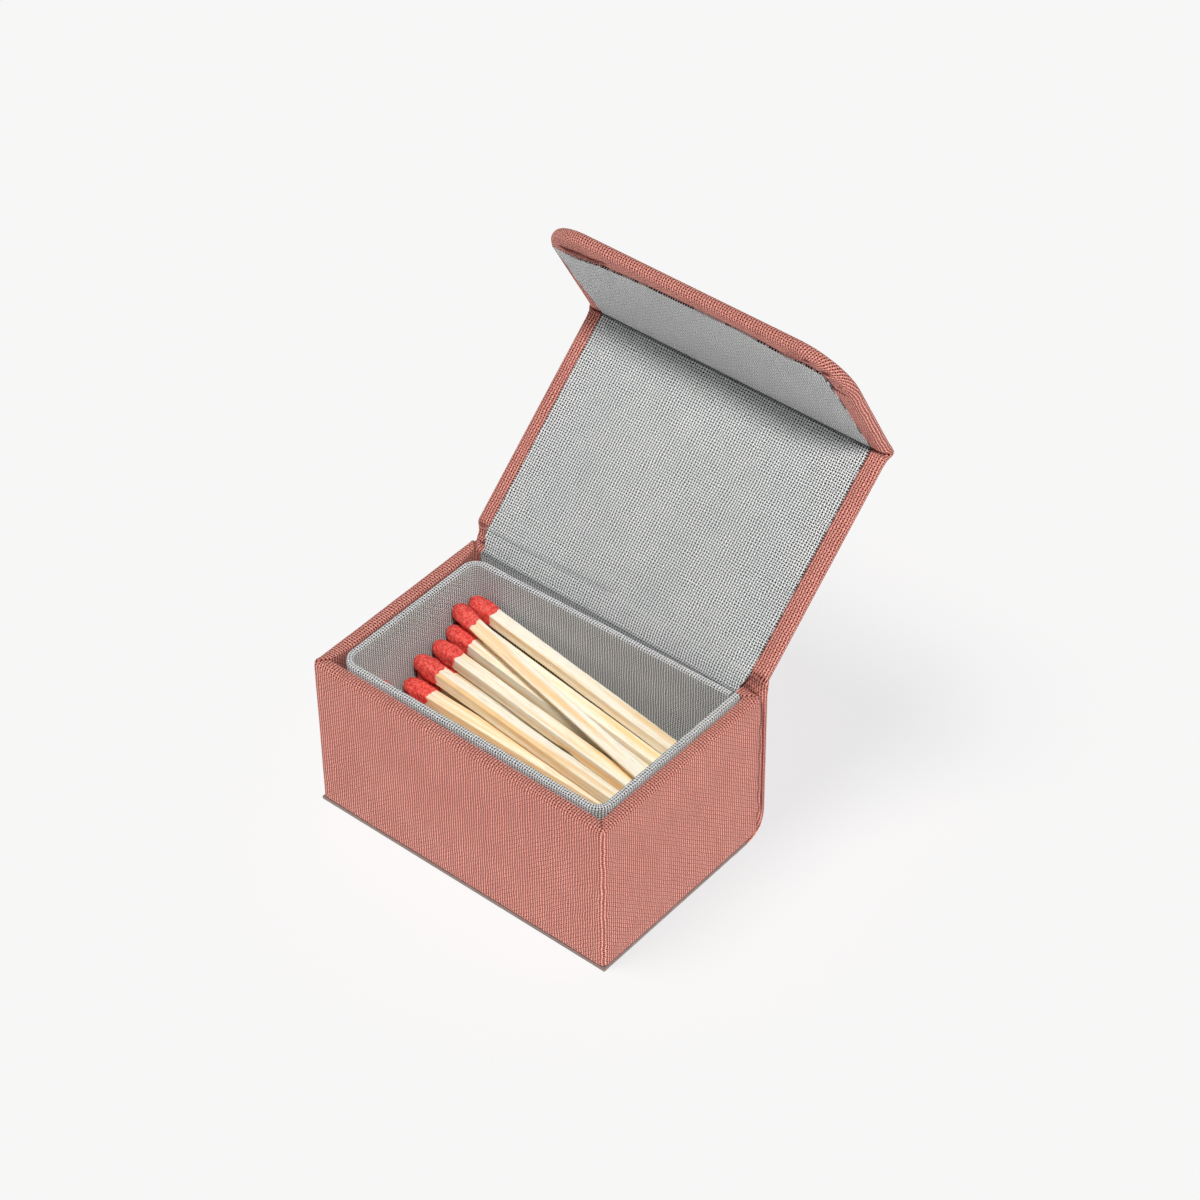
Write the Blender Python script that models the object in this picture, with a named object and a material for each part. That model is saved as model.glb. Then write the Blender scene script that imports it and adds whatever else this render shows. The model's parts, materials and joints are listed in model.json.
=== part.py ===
"""Small cloth-covered box of matches with a lid that folds down over its front.

Metres, +Z up. The long side runs along X and the front faces -Y. The origin is on the surface that the
box stands on, under the middle of the tray. The lid is shown open, as it leans back on its cloth hinge,
and the flap at its front edge is part folded. Both are modelled flat and turned on an empty on their axis.
"""

import math

import bmesh
import bpy
from mathutils import Matrix, Vector

# Cloth, glue and boards
CLOTH = 0.00035
GLUE = 0.0001
TRAY_BOARD = 0.00135
COVER_BOARD = 0.0012
BASE_SHEET = 0.0006
LOOSE_FIT = 0.0003

# Tray
TRAY_WIDTH = 0.0620
TRAY_DEPTH = 0.0402
RIM_HEIGHT = 0.0317
TRAY_CORNER = 0.0012
BACK_EDGE_RADIUS = 0.0048
CLOTH_TURNED_IN = 0.0120
CLOTH_TURNED_UNDER = 0.0100

# Liner that stands in the tray, a little proud of the rim and pushed into the front right corner
LINER_CLOTH = 0.0003
LINER_CARD = 0.0004
LINER_PROUD = 0.0009
LINER_CORNER = 0.0030
LINER_GAP_LEFT = 0.00175
LINER_GAP_BACK_LEFT = 0.0024
LINER_GAP_BACK_RIGHT = 0.0007
LINER_SEAM = 0.0002
LINER_CLOTH_OUTSIDE = 0.0100
FLOOR_CARD = 0.0006

# Cover: rear panel, lid and flap, with the lining's margins measured in from their edges
LID_OPEN_ANGLE = math.radians(42.07)
HINGE_BEHIND_WALL = 0.00061
LINING_ABOVE_RIM = 0.00014
HINGE_CLOTH_ON_LID = 0.00065
REAR_PANEL_BELOW_RIM = 0.0005
BOARD_SETBACK = 0.0006
FLAP_FOLD_ANGLE = math.radians(76.21)
FLAP_BEFORE_FRONT = 0.00064
FLAP_ABOVE_GROUND = 0.0042
FLAP_CORNER = 0.0095
FOLD_CORNER = 0.0008
LINING_MARGIN = 0.00293
LINING_FOLD_ARM = 0.0015
LINING_TAB_LENGTH = 0.0097
FLAP_LINING_LEFT_MARGIN = 0.0012
FLAP_LINING_TOP_LEFT_MARGIN = 0.0079
FLAP_LINING_RIGHT_MARGIN = 0.0035
FLAP_LINING_TOP_RIGHT_MARGIN = 0.0035
FLAP_LINING_CORNER = 0.0030

# Magnets
MAGNET_RADIUS = 0.0030
MAGNET_THICKNESS = 0.0010
MAGNET_CLEARANCE = 0.00015
MAGNET_FROM_FOLD = 0.0200

# Matches
STICK = 0.0024
HEAD_LENGTH = 0.0056
HEAD_WIDTH = 0.0033
MATCH_GAP = 0.0001
ROOM_AT_HEADS = 0.0005
ROOM_AT_TAILS = 0.00475
ROOM_ABOVE_MATCHES = 0.0040
SHOWN_ROWS = 3

# Worked out from the sizes above
TRAY_WALL = 2 * (CLOTH + GLUE) + TRAY_BOARD
SKIN = CLOTH + GLUE
COVER_THICKNESS = COVER_BOARD + 2 * SKIN
HALF_WIDTH = TRAY_WIDTH / 2
HALF_DEPTH = TRAY_DEPTH / 2
TRAY_BOTTOM = BASE_SHEET + GLUE
BASE_BOARD_BOTTOM = TRAY_BOTTOM + SKIN
BASE_BOARD_TOP = BASE_BOARD_BOTTOM + TRAY_BOARD
REAR_PANEL_INSIDE = HALF_DEPTH + GLUE
REAR_PANEL_OUTSIDE = REAR_PANEL_INSIDE + COVER_BOARD + SKIN
BACK_ARC_Y = REAR_PANEL_OUTSIDE - BACK_EDGE_RADIUS
BACK_ARC_Z = BACK_EDGE_RADIUS
TRAY_BACK_RADIUS = BACK_EDGE_RADIUS - SKIN
LINER_WALL = LINER_CARD + 2 * (LINER_CLOTH + GLUE)
LINER_TOP = RIM_HEIGHT + LINER_PROUD
FLOOR_BOTTOM = BASE_BOARD_TOP + GLUE
FLOOR_TOP = FLOOR_BOTTOM + FLOOR_CARD + GLUE + LINER_CLOTH
LINER_BOTTOM = FLOOR_TOP + GLUE
REAR_PANEL_TOP = RIM_HEIGHT - REAR_PANEL_BELOW_RIM
SHUT_LINING_HEIGHT = LINER_TOP + LOOSE_FIT

# The lid's lined face lies this far from the axis, both open, where it clears the rim's inner edge by the
# lining's thickness, and shut, where it lies on the liner.
AXIS_FROM_RIM_EDGE = HINGE_BEHIND_WALL + TRAY_WALL
LINING_OVER_RIM = RIM_HEIGHT + LINING_ABOVE_RIM + CLOTH / math.cos(LID_OPEN_ANGLE) - SHUT_LINING_HEIGHT
LID_INNER = (
    AXIS_FROM_RIM_EDGE * math.sin(LID_OPEN_ANGLE) + LINING_OVER_RIM * math.cos(LID_OPEN_ANGLE)
) / (1.0 + math.cos(LID_OPEN_ANGLE))
LID_PIVOT = Vector((0.0, HALF_DEPTH + HINGE_BEHIND_WALL, SHUT_LINING_HEIGHT + LID_INNER))
LID_OUTER = LID_INNER - COVER_THICKNESS
LID_NEAR = HINGE_CLOTH_ON_LID
LID_FOLD = LID_PIVOT.y + HALF_DEPTH + FLAP_BEFORE_FRONT
FLAP_LENGTH = SHUT_LINING_HEIGHT - FLAP_ABOVE_GROUND
LINING_HALF_WIDTH = HALF_WIDTH - LINING_MARGIN
INSIDE_LEFT = -HALF_WIDTH + TRAY_WALL + LINER_GAP_LEFT + LINER_WALL
INSIDE_RIGHT = HALF_WIDTH - TRAY_WALL - GLUE - LINER_WALL
INSIDE_FRONT = -HALF_DEPTH + TRAY_WALL + GLUE + LINER_WALL
INSIDE_BACK = HALF_DEPTH - TRAY_WALL - LINER_GAP_BACK_LEFT - LINER_WALL
MATCH_LENGTH = INSIDE_RIGHT - INSIDE_LEFT - ROOM_AT_HEADS - ROOM_AT_TAILS
HEAD_PITCH = HEAD_WIDTH + MATCH_GAP
MATCHES_PER_ROW = int((INSIDE_BACK - INSIDE_FRONT - MATCH_GAP) / HEAD_PITCH)
LOWER_ROWS = int((LINER_TOP - ROOM_ABOVE_MATCHES - FLOOR_TOP) / HEAD_PITCH) - SHOWN_ROWS

# How finely curves are drawn
ARC_STEPS = 6
MAGNET_SIDES = 24
HEAD_SIDES = 12
LOBE_STEPS = 4

# A match head from tip to stick: share of its length, and share of its full radius there
HEAD_PROFILE = [(0.02, 0.22), (0.10, 0.62), (0.26, 0.92), (0.44, 1.0), (0.72, 0.93), (1.0, 0.84)]


def clear_scene():
    for old in list(bpy.data.objects):
        bpy.data.objects.remove(old, do_unlink=True)


def material(name, colour, roughness, metallic=0.0):
    made = bpy.data.materials.new(name)
    made.use_nodes = True
    shader = made.node_tree.nodes["Principled BSDF"]
    shader.inputs["Base Color"].default_value = (*colour, 1.0)
    shader.inputs["Roughness"].default_value = roughness
    shader.inputs["Metallic"].default_value = metallic
    made.diffuse_color = (*colour, 1.0)
    return made


def add_object(name, mesh_builder, finish, parent=None):
    bmesh.ops.recalc_face_normals(mesh_builder, faces=mesh_builder.faces)
    mesh = bpy.data.meshes.new(name)
    mesh_builder.to_mesh(mesh)
    mesh_builder.free()
    made = bpy.data.objects.new(name, mesh)
    bpy.context.scene.collection.objects.link(made)
    made.parent = parent
    if finish is None:
        made.hide_render = True
        made.display_type = "WIRE"
    else:
        mesh.materials.append(finish)
    return made


def add_empty(name, place, turn, parent=None):
    made = bpy.data.objects.new(name, None)
    bpy.context.scene.collection.objects.link(made)
    made.parent = parent
    made.location = place
    made.rotation_euler = (turn, 0.0, 0.0)
    return made


def combine(piece, other, operation):
    """Cuts, trims or joins a piece with another by an exact boolean."""
    step = piece.modifiers.new(operation.lower(), "BOOLEAN")
    step.operation = operation
    step.object = other
    step.solver = "EXACT"


# Outlines and prisms

AXES = {"x": (1, 2, 0), "y": (0, 2, 1), "z": (0, 1, 2)}


def prism(outline, axis, low, high):
    """A closed prism: an outline in the plane across the axis, from low to high along it."""
    first, second, along = AXES[axis]
    builder = bmesh.new()
    corners = []
    for a, b in outline:
        place = [0.0, 0.0, 0.0]
        place[first], place[second], place[along] = a, b, low
        corners.append(builder.verts.new(place))
    face = builder.faces.new(corners)
    grown = bmesh.ops.extrude_face_region(builder, geom=[face])
    step = Vector((0.0, 0.0, 0.0))
    step[along] = high - low
    moved = [item for item in grown["geom"] if isinstance(item, bmesh.types.BMVert)]
    bmesh.ops.translate(builder, vec=step, verts=moved)
    return builder


def rectangle(a_low, a_high, b_low, b_high):
    return [(a_low, b_low), (a_high, b_low), (a_high, b_high), (a_low, b_high)]


def box(x, y, z):
    return prism(rectangle(*x, *y), "z", *z)


def arc(centre, radius, start, end, steps=ARC_STEPS):
    """Points on an arc about a centre, between two angles in radians, both ends included."""
    turns = [start + (end - start) * step / steps for step in range(steps + 1)]
    return [(centre[0] + radius * math.cos(t), centre[1] + radius * math.sin(t)) for t in turns]


def circle(centre, radius, sides):
    return arc(centre, radius, 0.0, 2 * math.pi * (sides - 1) / sides, sides - 1)


def rounded(corners, radii, closed=True, steps=ARC_STEPS):
    """A line through the corners with each one rounded to its radius; a zero radius stays sharp."""
    outline = []
    count = len(corners)
    for index, (corner, radius) in enumerate(zip(corners, radii)):
        here = Vector(corner)
        at_end = not closed and index in (0, count - 1)
        if at_end or radius == 0.0:
            outline.append(tuple(here))
            continue
        back = (Vector(corners[index - 1]) - here).normalized()
        forward = (Vector(corners[(index + 1) % count]) - here).normalized()
        half = back.angle(forward) / 2
        centre = here + (back + forward).normalized() * (radius / math.sin(half))
        leave = here + back * (radius / math.tan(half)) - centre
        arrive = here + forward * (radius / math.tan(half)) - centre
        start = math.atan2(leave.y, leave.x)
        turn = math.remainder(math.atan2(arrive.y, arrive.x) - start, 2 * math.pi)
        outline += arc(centre, radius, start, start + turn, steps)
    return outline


def offset(corners, distance, closed=True):
    """Corners moved sideways by a distance, to the left of the way the line runs."""
    count = len(corners)
    moved = []
    for index, corner in enumerate(corners):
        here = Vector(corner)
        sides = []
        if closed or index > 0:
            sides.append((here - Vector(corners[index - 1])).normalized())
        if closed or index < count - 1:
            sides.append((Vector(corners[(index + 1) % count]) - here).normalized())
        normals = [Vector((-side.y, side.x)) for side in sides]
        middle = sum(normals, Vector((0.0, 0.0))).normalized()
        moved.append(tuple(here + middle * (distance / middle.dot(normals[0]))))
    return moved


def strip(corners, radii, thickness):
    """The outline of a bent strip: a rounded line, and the same line a thickness to its left."""
    near = rounded(corners, radii, closed=False)
    shift = math.copysign(1.0, thickness)
    turned_left = [radius - shift * abs(thickness) for radius in radii]
    far = rounded(
        offset(corners, thickness, closed=False),
        [max(radius, 0.0) for radius in turned_left],
        closed=False,
    )
    return near + far[::-1]


# Tray

def tray_side(inset):
    """Side view of the tray's block with its lower back edge rounded, moved in by an inset."""
    front = -HALF_DEPTH + inset
    back = HALF_DEPTH - inset
    bottom = TRAY_BOTTOM + inset
    radius = TRAY_BACK_RADIUS - inset
    low = math.asin((bottom - BACK_ARC_Z) / radius)
    high = -math.acos((back - BACK_ARC_Y) / radius)
    top = RIM_HEIGHT - inset
    return [(front, bottom)] + arc((BACK_ARC_Y, BACK_ARC_Z), radius, low, high) + [(back, top), (front, top)]


def tray_block(inset, corner):
    """The tray's outside as a block, its upright edges rounded."""
    half = HALF_WIDTH - inset
    builder = prism(tray_side(inset), "x", -half, half)
    upright = []
    for edge in builder.edges:
        low, high = sorted((vert.co for vert in edge.verts), key=lambda co: co.z)
        on_side = abs(abs(low.x) - half) < 1e-6 and abs(low.x - high.x) < 1e-6
        if on_side and high.z - low.z > RIM_HEIGHT / 2:
            upright.append(edge)
    bmesh.ops.bevel(builder, geom=upright, offset=corner, segments=3, profile=0.5, affect="EDGES")
    return builder


def build_tray_cloth(finish):
    """The cloth skin: up the walls, over the rim, down inside, and turned under the base."""
    cloth = add_object("tray_cloth", tray_block(0.0, TRAY_CORNER), finish)
    core = add_object("cut_cloth_core", tray_block(CLOTH, TRAY_CORNER - CLOTH), None)
    inner_face = TRAY_WALL - CLOTH
    turn_in_end = RIM_HEIGHT - CLOTH_TURNED_IN
    above = RIM_HEIGHT + 0.01
    plug = add_object(
        "keep_turned_in_cloth",
        box(
            (-HALF_WIDTH + inner_face, HALF_WIDTH - inner_face),
            (-HALF_DEPTH + inner_face, HALF_DEPTH - inner_face),
            (turn_in_end, above),
        ),
        None,
    )
    combine(core, plug, "DIFFERENCE")
    cavity = add_object(
        "cut_tray_inside",
        box(
            (-HALF_WIDTH + TRAY_WALL, HALF_WIDTH - TRAY_WALL),
            (-HALF_DEPTH + TRAY_WALL, HALF_DEPTH - TRAY_WALL),
            (turn_in_end - TRAY_WALL, above),
        ),
        None,
    )
    window = add_object(
        "cut_under_base",
        box(
            (-HALF_WIDTH + CLOTH_TURNED_UNDER, HALF_WIDTH - CLOTH_TURNED_UNDER),
            (-HALF_DEPTH + CLOTH_TURNED_UNDER, HALF_DEPTH - CLOTH_TURNED_UNDER),
            (-TRAY_BOTTOM, BASE_BOARD_TOP),
        ),
        None,
    )
    for cutter in (core, cavity, window):
        combine(cloth, cutter, "DIFFERENCE")


def build_tray_boards(finish):
    """Base board with the four walls glued on top of it, trimmed to the rounded back edge."""
    trim = add_object("trim_boards", tray_block(SKIN, TRAY_CORNER - SKIN), None)
    outside_x = HALF_WIDTH - SKIN
    outside_y = HALF_DEPTH - SKIN
    inside_x = outside_x - TRAY_BOARD
    inside_y = outside_y - TRAY_BOARD
    wall_z = (BASE_BOARD_TOP + GLUE, RIM_HEIGHT)
    between = inside_y - GLUE
    beyond = TRAY_BOARD
    walls = {
        "front_board": ((-outside_x - beyond, outside_x + beyond), (-outside_y - beyond, -inside_y), wall_z),
        "rear_board": ((-outside_x - beyond, outside_x + beyond), (inside_y, outside_y + beyond), wall_z),
        "left_board": ((-outside_x - beyond, -inside_x), (-between, between), wall_z),
        "right_board": ((inside_x, outside_x + beyond), (-between, between), wall_z),
        "base_board": (
            (-HALF_WIDTH, HALF_WIDTH),
            (-HALF_DEPTH, HALF_DEPTH),
            (0.0, BASE_BOARD_TOP),
        ),
    }
    boards = {}
    for name, spans in walls.items():
        boards[name] = add_object(name, box(*spans), finish)
        combine(boards[name], trim, "INTERSECT")
    return boards


def build_base_sheet(finish):
    """Rough sheet glued under the whole base, ending where the cover's cloth comes round the back edge."""
    span_y = (-HALF_DEPTH, BACK_ARC_Y - GLUE)
    add_object("striking_sheet", box((-HALF_WIDTH, HALF_WIDTH), span_y, (0.0, BASE_SHEET)), finish)


# Liner

def liner_corners():
    """Outer face of the liner, from its seam at the back right, round the front and left to the seam."""
    inside_x = HALF_WIDTH - TRAY_WALL
    inside_y = HALF_DEPTH - TRAY_WALL
    left = -inside_x + LINER_GAP_LEFT
    right = inside_x - GLUE
    front = -inside_y + GLUE
    back_left = inside_y - LINER_GAP_BACK_LEFT
    back_right = inside_y - LINER_GAP_BACK_RIGHT
    butt = right - LINER_WALL - LINER_SEAM
    slope = (back_right - back_left) / (right - left)
    return [
        (right, back_right),
        (right, front),
        (left, front),
        (left, back_left),
        (butt, back_left + slope * (butt - left)),
    ]


def liner_line(inset):
    """The liner's plan line, moved inwards, with rounded corners."""
    corners = offset(liner_corners(), -inset, closed=False)
    radius = max(LINER_CORNER - inset, LINER_CLOTH)
    return rounded(corners, [radius] * len(corners), closed=False, steps=3)


def upright_strip(section):
    """A strip standing on edge along the liner's line; its section is (inset, height) points."""
    builder = bmesh.new()
    rows = [[builder.verts.new((x, y, height)) for x, y in liner_line(inset)] for inset, height in section]
    for row, following in zip(rows, rows[1:] + rows[:1]):
        for index in range(len(row) - 1):
            builder.faces.new((row[index], row[index + 1], following[index + 1], following[index]))
    builder.faces.new([row[0] for row in rows])
    builder.faces.new([row[-1] for row in rows][::-1])
    return builder


def build_liner(cloth_finish, card_finish):
    edge = LINER_CLOTH / 2
    card_near = LINER_CLOTH + GLUE
    card_far = card_near + LINER_CARD
    outside_end = LINER_TOP - LINER_CLOTH_OUTSIDE
    cloth_section = [
        (0.0, outside_end),
        (0.0, LINER_TOP - edge),
        (edge, LINER_TOP),
        (LINER_WALL - edge, LINER_TOP),
        (LINER_WALL, LINER_TOP - edge),
        (LINER_WALL, LINER_BOTTOM),
        (LINER_WALL - LINER_CLOTH, LINER_BOTTOM),
        (LINER_WALL - LINER_CLOTH, LINER_TOP - LINER_CLOTH),
        (LINER_CLOTH, LINER_TOP - LINER_CLOTH),
        (LINER_CLOTH, outside_end),
    ]
    card_top = LINER_TOP - LINER_CLOTH - GLUE
    card_section = [
        (card_near, LINER_BOTTOM),
        (card_near, card_top),
        (card_far, card_top),
        (card_far, LINER_BOTTOM),
    ]
    add_object("liner_cloth", upright_strip(cloth_section), cloth_finish)
    add_object("liner_card", upright_strip(card_section), card_finish)


def build_floor(cloth_finish, card_finish):
    """Cloth-covered card that lies on the base board, inside the four walls."""
    half_x = HALF_WIDTH - TRAY_WALL - LOOSE_FIT
    half_y = HALF_DEPTH - TRAY_WALL - LOOSE_FIT
    span = ((-half_x, half_x), (-half_y, half_y))
    card_top = FLOOR_BOTTOM + FLOOR_CARD
    add_object("floor_card", box(*span, (FLOOR_BOTTOM, card_top)), card_finish)
    add_object("floor_cloth", box(*span, (card_top + GLUE, FLOOR_TOP)), cloth_finish)


# Rear panel of the cover

def build_rear_panel(cloth_finish, board_finish):
    """Board glued behind the rear wall, its cloth carried round the lower back edge and under the base."""
    centre = (BACK_ARC_Y, BACK_ARC_Z)
    down = -math.pi / 2
    plate = REAR_PANEL_OUTSIDE - CLOTH
    outline = [(REAR_PANEL_INSIDE, BACK_ARC_Z), (REAR_PANEL_INSIDE, REAR_PANEL_TOP)]
    outline.append((REAR_PANEL_OUTSIDE, REAR_PANEL_TOP))
    outline += arc(centre, BACK_EDGE_RADIUS, 0.0, down) + arc(centre, BACK_EDGE_RADIUS - CLOTH, down, 0.0)
    cloth = add_object("rear_panel_cloth", prism(outline, "x", -HALF_WIDTH, HALF_WIDTH), cloth_finish)
    flange = HALF_WIDTH - CLOTH
    space_y = (REAR_PANEL_INSIDE - COVER_BOARD, plate)
    space_z = (BACK_ARC_Z, REAR_PANEL_TOP + COVER_BOARD)
    space = add_object("cut_rear_panel_board", box((-flange, flange), space_y, space_z), None)
    combine(cloth, space, "DIFFERENCE")
    back = plate - GLUE
    low = -math.acos((REAR_PANEL_INSIDE - BACK_ARC_Y) / TRAY_BACK_RADIUS)
    outline = arc(centre, TRAY_BACK_RADIUS, low, 0.0)
    top = REAR_PANEL_TOP - BOARD_SETBACK
    outline += [(back, top), (REAR_PANEL_INSIDE, top)]
    half = HALF_WIDTH - SKIN
    add_object("rear_panel_board", prism(outline, "x", -half, half), board_finish)


# Lid and flap, in their own frames: Y runs away from the axis, Z out of the lined face

def build_lid(pivot, cloth_finish, lining_finish, board_finish):
    side = HALF_WIDTH
    margin = LINING_HALF_WIDTH + GLUE
    section = [
        (-margin, LID_INNER),
        (-side, LID_INNER),
        (-side, LID_OUTER),
        (side, LID_OUTER),
        (side, LID_INNER),
        (margin, LID_INNER),
        (margin, LID_INNER - CLOTH),
        (side - CLOTH, LID_INNER - CLOTH),
        (side - CLOTH, LID_OUTER + CLOTH),
        (-side + CLOTH, LID_OUTER + CLOTH),
        (-side + CLOTH, LID_INNER - CLOTH),
        (-margin, LID_INNER - CLOTH),
    ]
    edge = CLOTH / 2
    radii = [0.0, edge, edge, edge, edge, 0.0, 0.0, 0.0, 0.0, 0.0, 0.0, 0.0]
    outline = rounded(section, radii, steps=2)
    add_object("lid_cloth", prism(outline, "y", LID_NEAR, LID_FOLD - GLUE), cloth_finish, pivot)
    half = side - SKIN
    board_x = (-half, half)
    board_y = (LID_NEAR + GLUE, LID_FOLD - GLUE)
    board_z = (LID_OUTER + SKIN, LID_INNER - SKIN)
    add_object("lid_board", box(board_x, board_y, board_z), board_finish, pivot)
    half = LINING_HALF_WIDTH
    lining_y = (LID_NEAR + GLUE, LID_FOLD - LINING_FOLD_ARM - GLUE)
    lining_z = (LID_INNER - CLOTH, LID_INNER)
    add_object("lid_lining", box((-half, half), lining_y, lining_z), lining_finish, pivot)


def flap_outline(inset, start):
    """Flap seen square on, its free corners rounded, moved in from its sides and free edge."""
    half = HALF_WIDTH - inset
    far = FLAP_LENGTH - inset
    radius = FLAP_CORNER - inset
    return rounded([(-half, start), (half, start), (half, far), (-half, far)], [0.0, 0.0, radius, radius])


def flap_lining_outline(grow, start):
    """The flap's lining seen square on, cut by hand and a little askew, grown outwards by a clearance."""
    left = Vector((-HALF_WIDTH + FLAP_LINING_LEFT_MARGIN, FLAP_LENGTH - FLAP_LINING_TOP_LEFT_MARGIN))
    right = Vector((HALF_WIDTH - FLAP_LINING_RIGHT_MARGIN, FLAP_LENGTH - FLAP_LINING_TOP_RIGHT_MARGIN))
    fold_left = Vector((-LINING_HALF_WIDTH, 0.0))
    fold_right = Vector((LINING_HALF_WIDTH, 0.0))
    corners = [
        tuple(fold_left.lerp(left, start / left.y)),
        tuple(fold_right.lerp(right, start / right.y)),
        tuple(right),
        tuple(left),
    ]
    return rounded(offset(corners, -grow), [0.0, 0.0, FLAP_LINING_CORNER + grow, LINER_CLOTH])


def disc(axis, centre, radius, low, high):
    return prism(circle(centre, radius, MAGNET_SIDES), axis, low, high)


def build_flap(pivot, cloth_finish, lining_finish, board_finish, magnet_finish):
    outer = -COVER_THICKNESS
    cloth = add_object("flap_cloth", prism(flap_outline(0.0, GLUE), "z", outer, 0.0), cloth_finish, pivot)
    before = -FLAP_CORNER
    pocket = prism(flap_outline(CLOTH, before), "z", outer + CLOTH, -CLOTH)
    window = prism(flap_lining_outline(GLUE, before), "z", -COVER_THICKNESS / 2, COVER_THICKNESS)
    for name, space in (("cut_flap_pocket", pocket), ("cut_flap_window", window)):
        combine(cloth, add_object(name, space, None, pivot), "DIFFERENCE")
    lining = prism(flap_lining_outline(0.0, LINING_FOLD_ARM + GLUE), "z", -CLOTH, 0.0)
    add_object("flap_lining", lining, lining_finish, pivot)
    board = add_object(
        "flap_board", prism(flap_outline(SKIN, GLUE), "z", outer + SKIN, -SKIN), board_finish, pivot
    )
    middle = -COVER_THICKNESS / 2
    centre = (0.0, MAGNET_FROM_FOLD)
    hole_radius = MAGNET_RADIUS + MAGNET_CLEARANCE
    hole = add_object("cut_flap_magnet", disc("z", centre, hole_radius, outer, 0.0), None, pivot)
    combine(board, hole, "DIFFERENCE")
    low = middle - MAGNET_THICKNESS / 2
    high = middle + MAGNET_THICKNESS / 2
    add_object("flap_magnet", disc("z", centre, MAGNET_RADIUS, low, high), magnet_finish, pivot)


def build_front_magnet(front_board, finish):
    """Magnet let into the front wall where the shut flap's magnet lies."""
    centre = (0.0, SHUT_LINING_HEIGHT - MAGNET_FROM_FOLD)
    middle = -HALF_DEPTH + SKIN + TRAY_BOARD / 2
    hole_radius = MAGNET_RADIUS + MAGNET_CLEARANCE
    hole = add_object(
        "cut_front_magnet",
        disc("y", centre, hole_radius, middle - TRAY_BOARD, middle + TRAY_BOARD),
        None,
    )
    combine(front_board, hole, "DIFFERENCE")
    low = middle - MAGNET_THICKNESS / 2
    high = middle + MAGNET_THICKNESS / 2
    add_object("front_magnet", disc("y", centre, MAGNET_RADIUS, low, high), finish)


# Flexible cloth at the two hinges, as it lies with the lid open

def lid_point(along, depth):
    """A point of the open lid's side view: along it from its axis, and below its lined face."""
    turn = Matrix.Rotation(LID_OPEN_ANGLE, 2)
    local = Vector((along, LID_INNER - depth))
    return tuple(Vector((LID_PIVOT.y, LID_PIVOT.z)) + turn @ local)


def build_lid_hinge(cloth_finish, lining_finish):
    """Cover cloth bent from the rear panel to the lid, and the lining bent from its tab to the lid."""
    outside_low = (REAR_PANEL_OUTSIDE, REAR_PANEL_TOP + GLUE)
    near_end = LID_NEAR - GLUE
    on_lid = lid_point(near_end, COVER_THICKNESS)
    slope = math.tan(LID_OPEN_ANGLE)
    bend = (REAR_PANEL_OUTSIDE, on_lid[1] - (on_lid[0] - REAR_PANEL_OUTSIDE) * slope)
    outline = strip([outside_low, bend, on_lid], [0.0, 0.0, 0.0], CLOTH)
    add_object("lid_hinge_cloth", prism(outline, "x", -HALF_WIDTH, HALF_WIDTH), cloth_finish)
    tab_front = HALF_DEPTH - TRAY_WALL - GLUE - CLOTH
    tab_top = RIM_HEIGHT - BOARD_SETBACK
    half = LINING_HALF_WIDTH
    tab = box((-half, half), (tab_front, tab_front + CLOTH), (RIM_HEIGHT - LINING_TAB_LENGTH, tab_top))
    add_object("lining_tab", tab, lining_finish)
    on_lining = lid_point(near_end, 0.0)
    corner = (tab_front, on_lining[1] - (on_lining[0] - tab_front) * slope)
    line = [(tab_front, tab_top + GLUE), corner, on_lining]
    outline = strip(line, [0.0, 0.0, 0.0], -CLOTH)
    add_object("lid_hinge_lining", prism(outline, "x", -half, half), lining_finish)


def build_fold(fold, cloth_finish, lining_finish):
    """Cover cloth round the outer corner of the fold, and lining in its inner corner, in the lid's frame."""
    direction = Vector((math.cos(FLAP_FOLD_ANGLE), math.sin(FLAP_FOLD_ANGLE)))
    outward = Vector((direction.y, -direction.x))
    reach = math.tan(FLAP_FOLD_ANGLE / 2)
    cloth_line = [
        (0.0, -COVER_THICKNESS),
        (COVER_THICKNESS * reach, -COVER_THICKNESS),
        tuple(outward * COVER_THICKNESS),
    ]
    outline = strip(cloth_line, [0.0, FOLD_CORNER, 0.0], CLOTH)
    add_object("fold_cloth", prism(outline, "x", -HALF_WIDTH, HALF_WIDTH), cloth_finish, fold)
    lining_line = [(-LINING_FOLD_ARM, 0.0), (0.0, 0.0), tuple(direction * LINING_FOLD_ARM)]
    outline = strip(lining_line, [0.0, 0.0, 0.0], -CLOTH)
    half = LINING_HALF_WIDTH
    add_object("fold_lining", prism(outline, "x", -half, half), lining_finish, fold)


# Matches

def head_height(row):
    """Height of a head's middle in a row of the pile, rows counted from the floor."""
    return FLOOR_TOP + MATCH_GAP + HEAD_WIDTH / 2 + row * HEAD_PITCH


def tail_height(row):
    """Height of a stick's middle at its bare end: the sticks lie closer than the heads."""
    return FLOOR_TOP + MATCH_GAP + STICK / 2 + row * (STICK + MATCH_GAP)


def loft(rings):
    """A closed solid through rings of as many points each, capped at both ends."""
    builder = bmesh.new()
    made = [[builder.verts.new(point) for point in ring] for ring in rings]
    for ring, following in zip(made, made[1:]):
        for step in range(len(ring)):
            after = (step + 1) % len(ring)
            builder.faces.new((ring[step], ring[after], following[after], following[step]))
    builder.faces.new(made[0])
    builder.faces.new(made[-1])
    return builder


def head_mesh():
    """A dipped head along +X from its tip at the origin: round, fullest before its middle."""
    rings = []
    for along, share in HEAD_PROFILE:
        around = circle((0.0, 0.0), share * HEAD_WIDTH / 2, HEAD_SIDES)
        rings.append([(along * HEAD_LENGTH, y, z) for y, z in around])
    return loft(rings)


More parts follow.
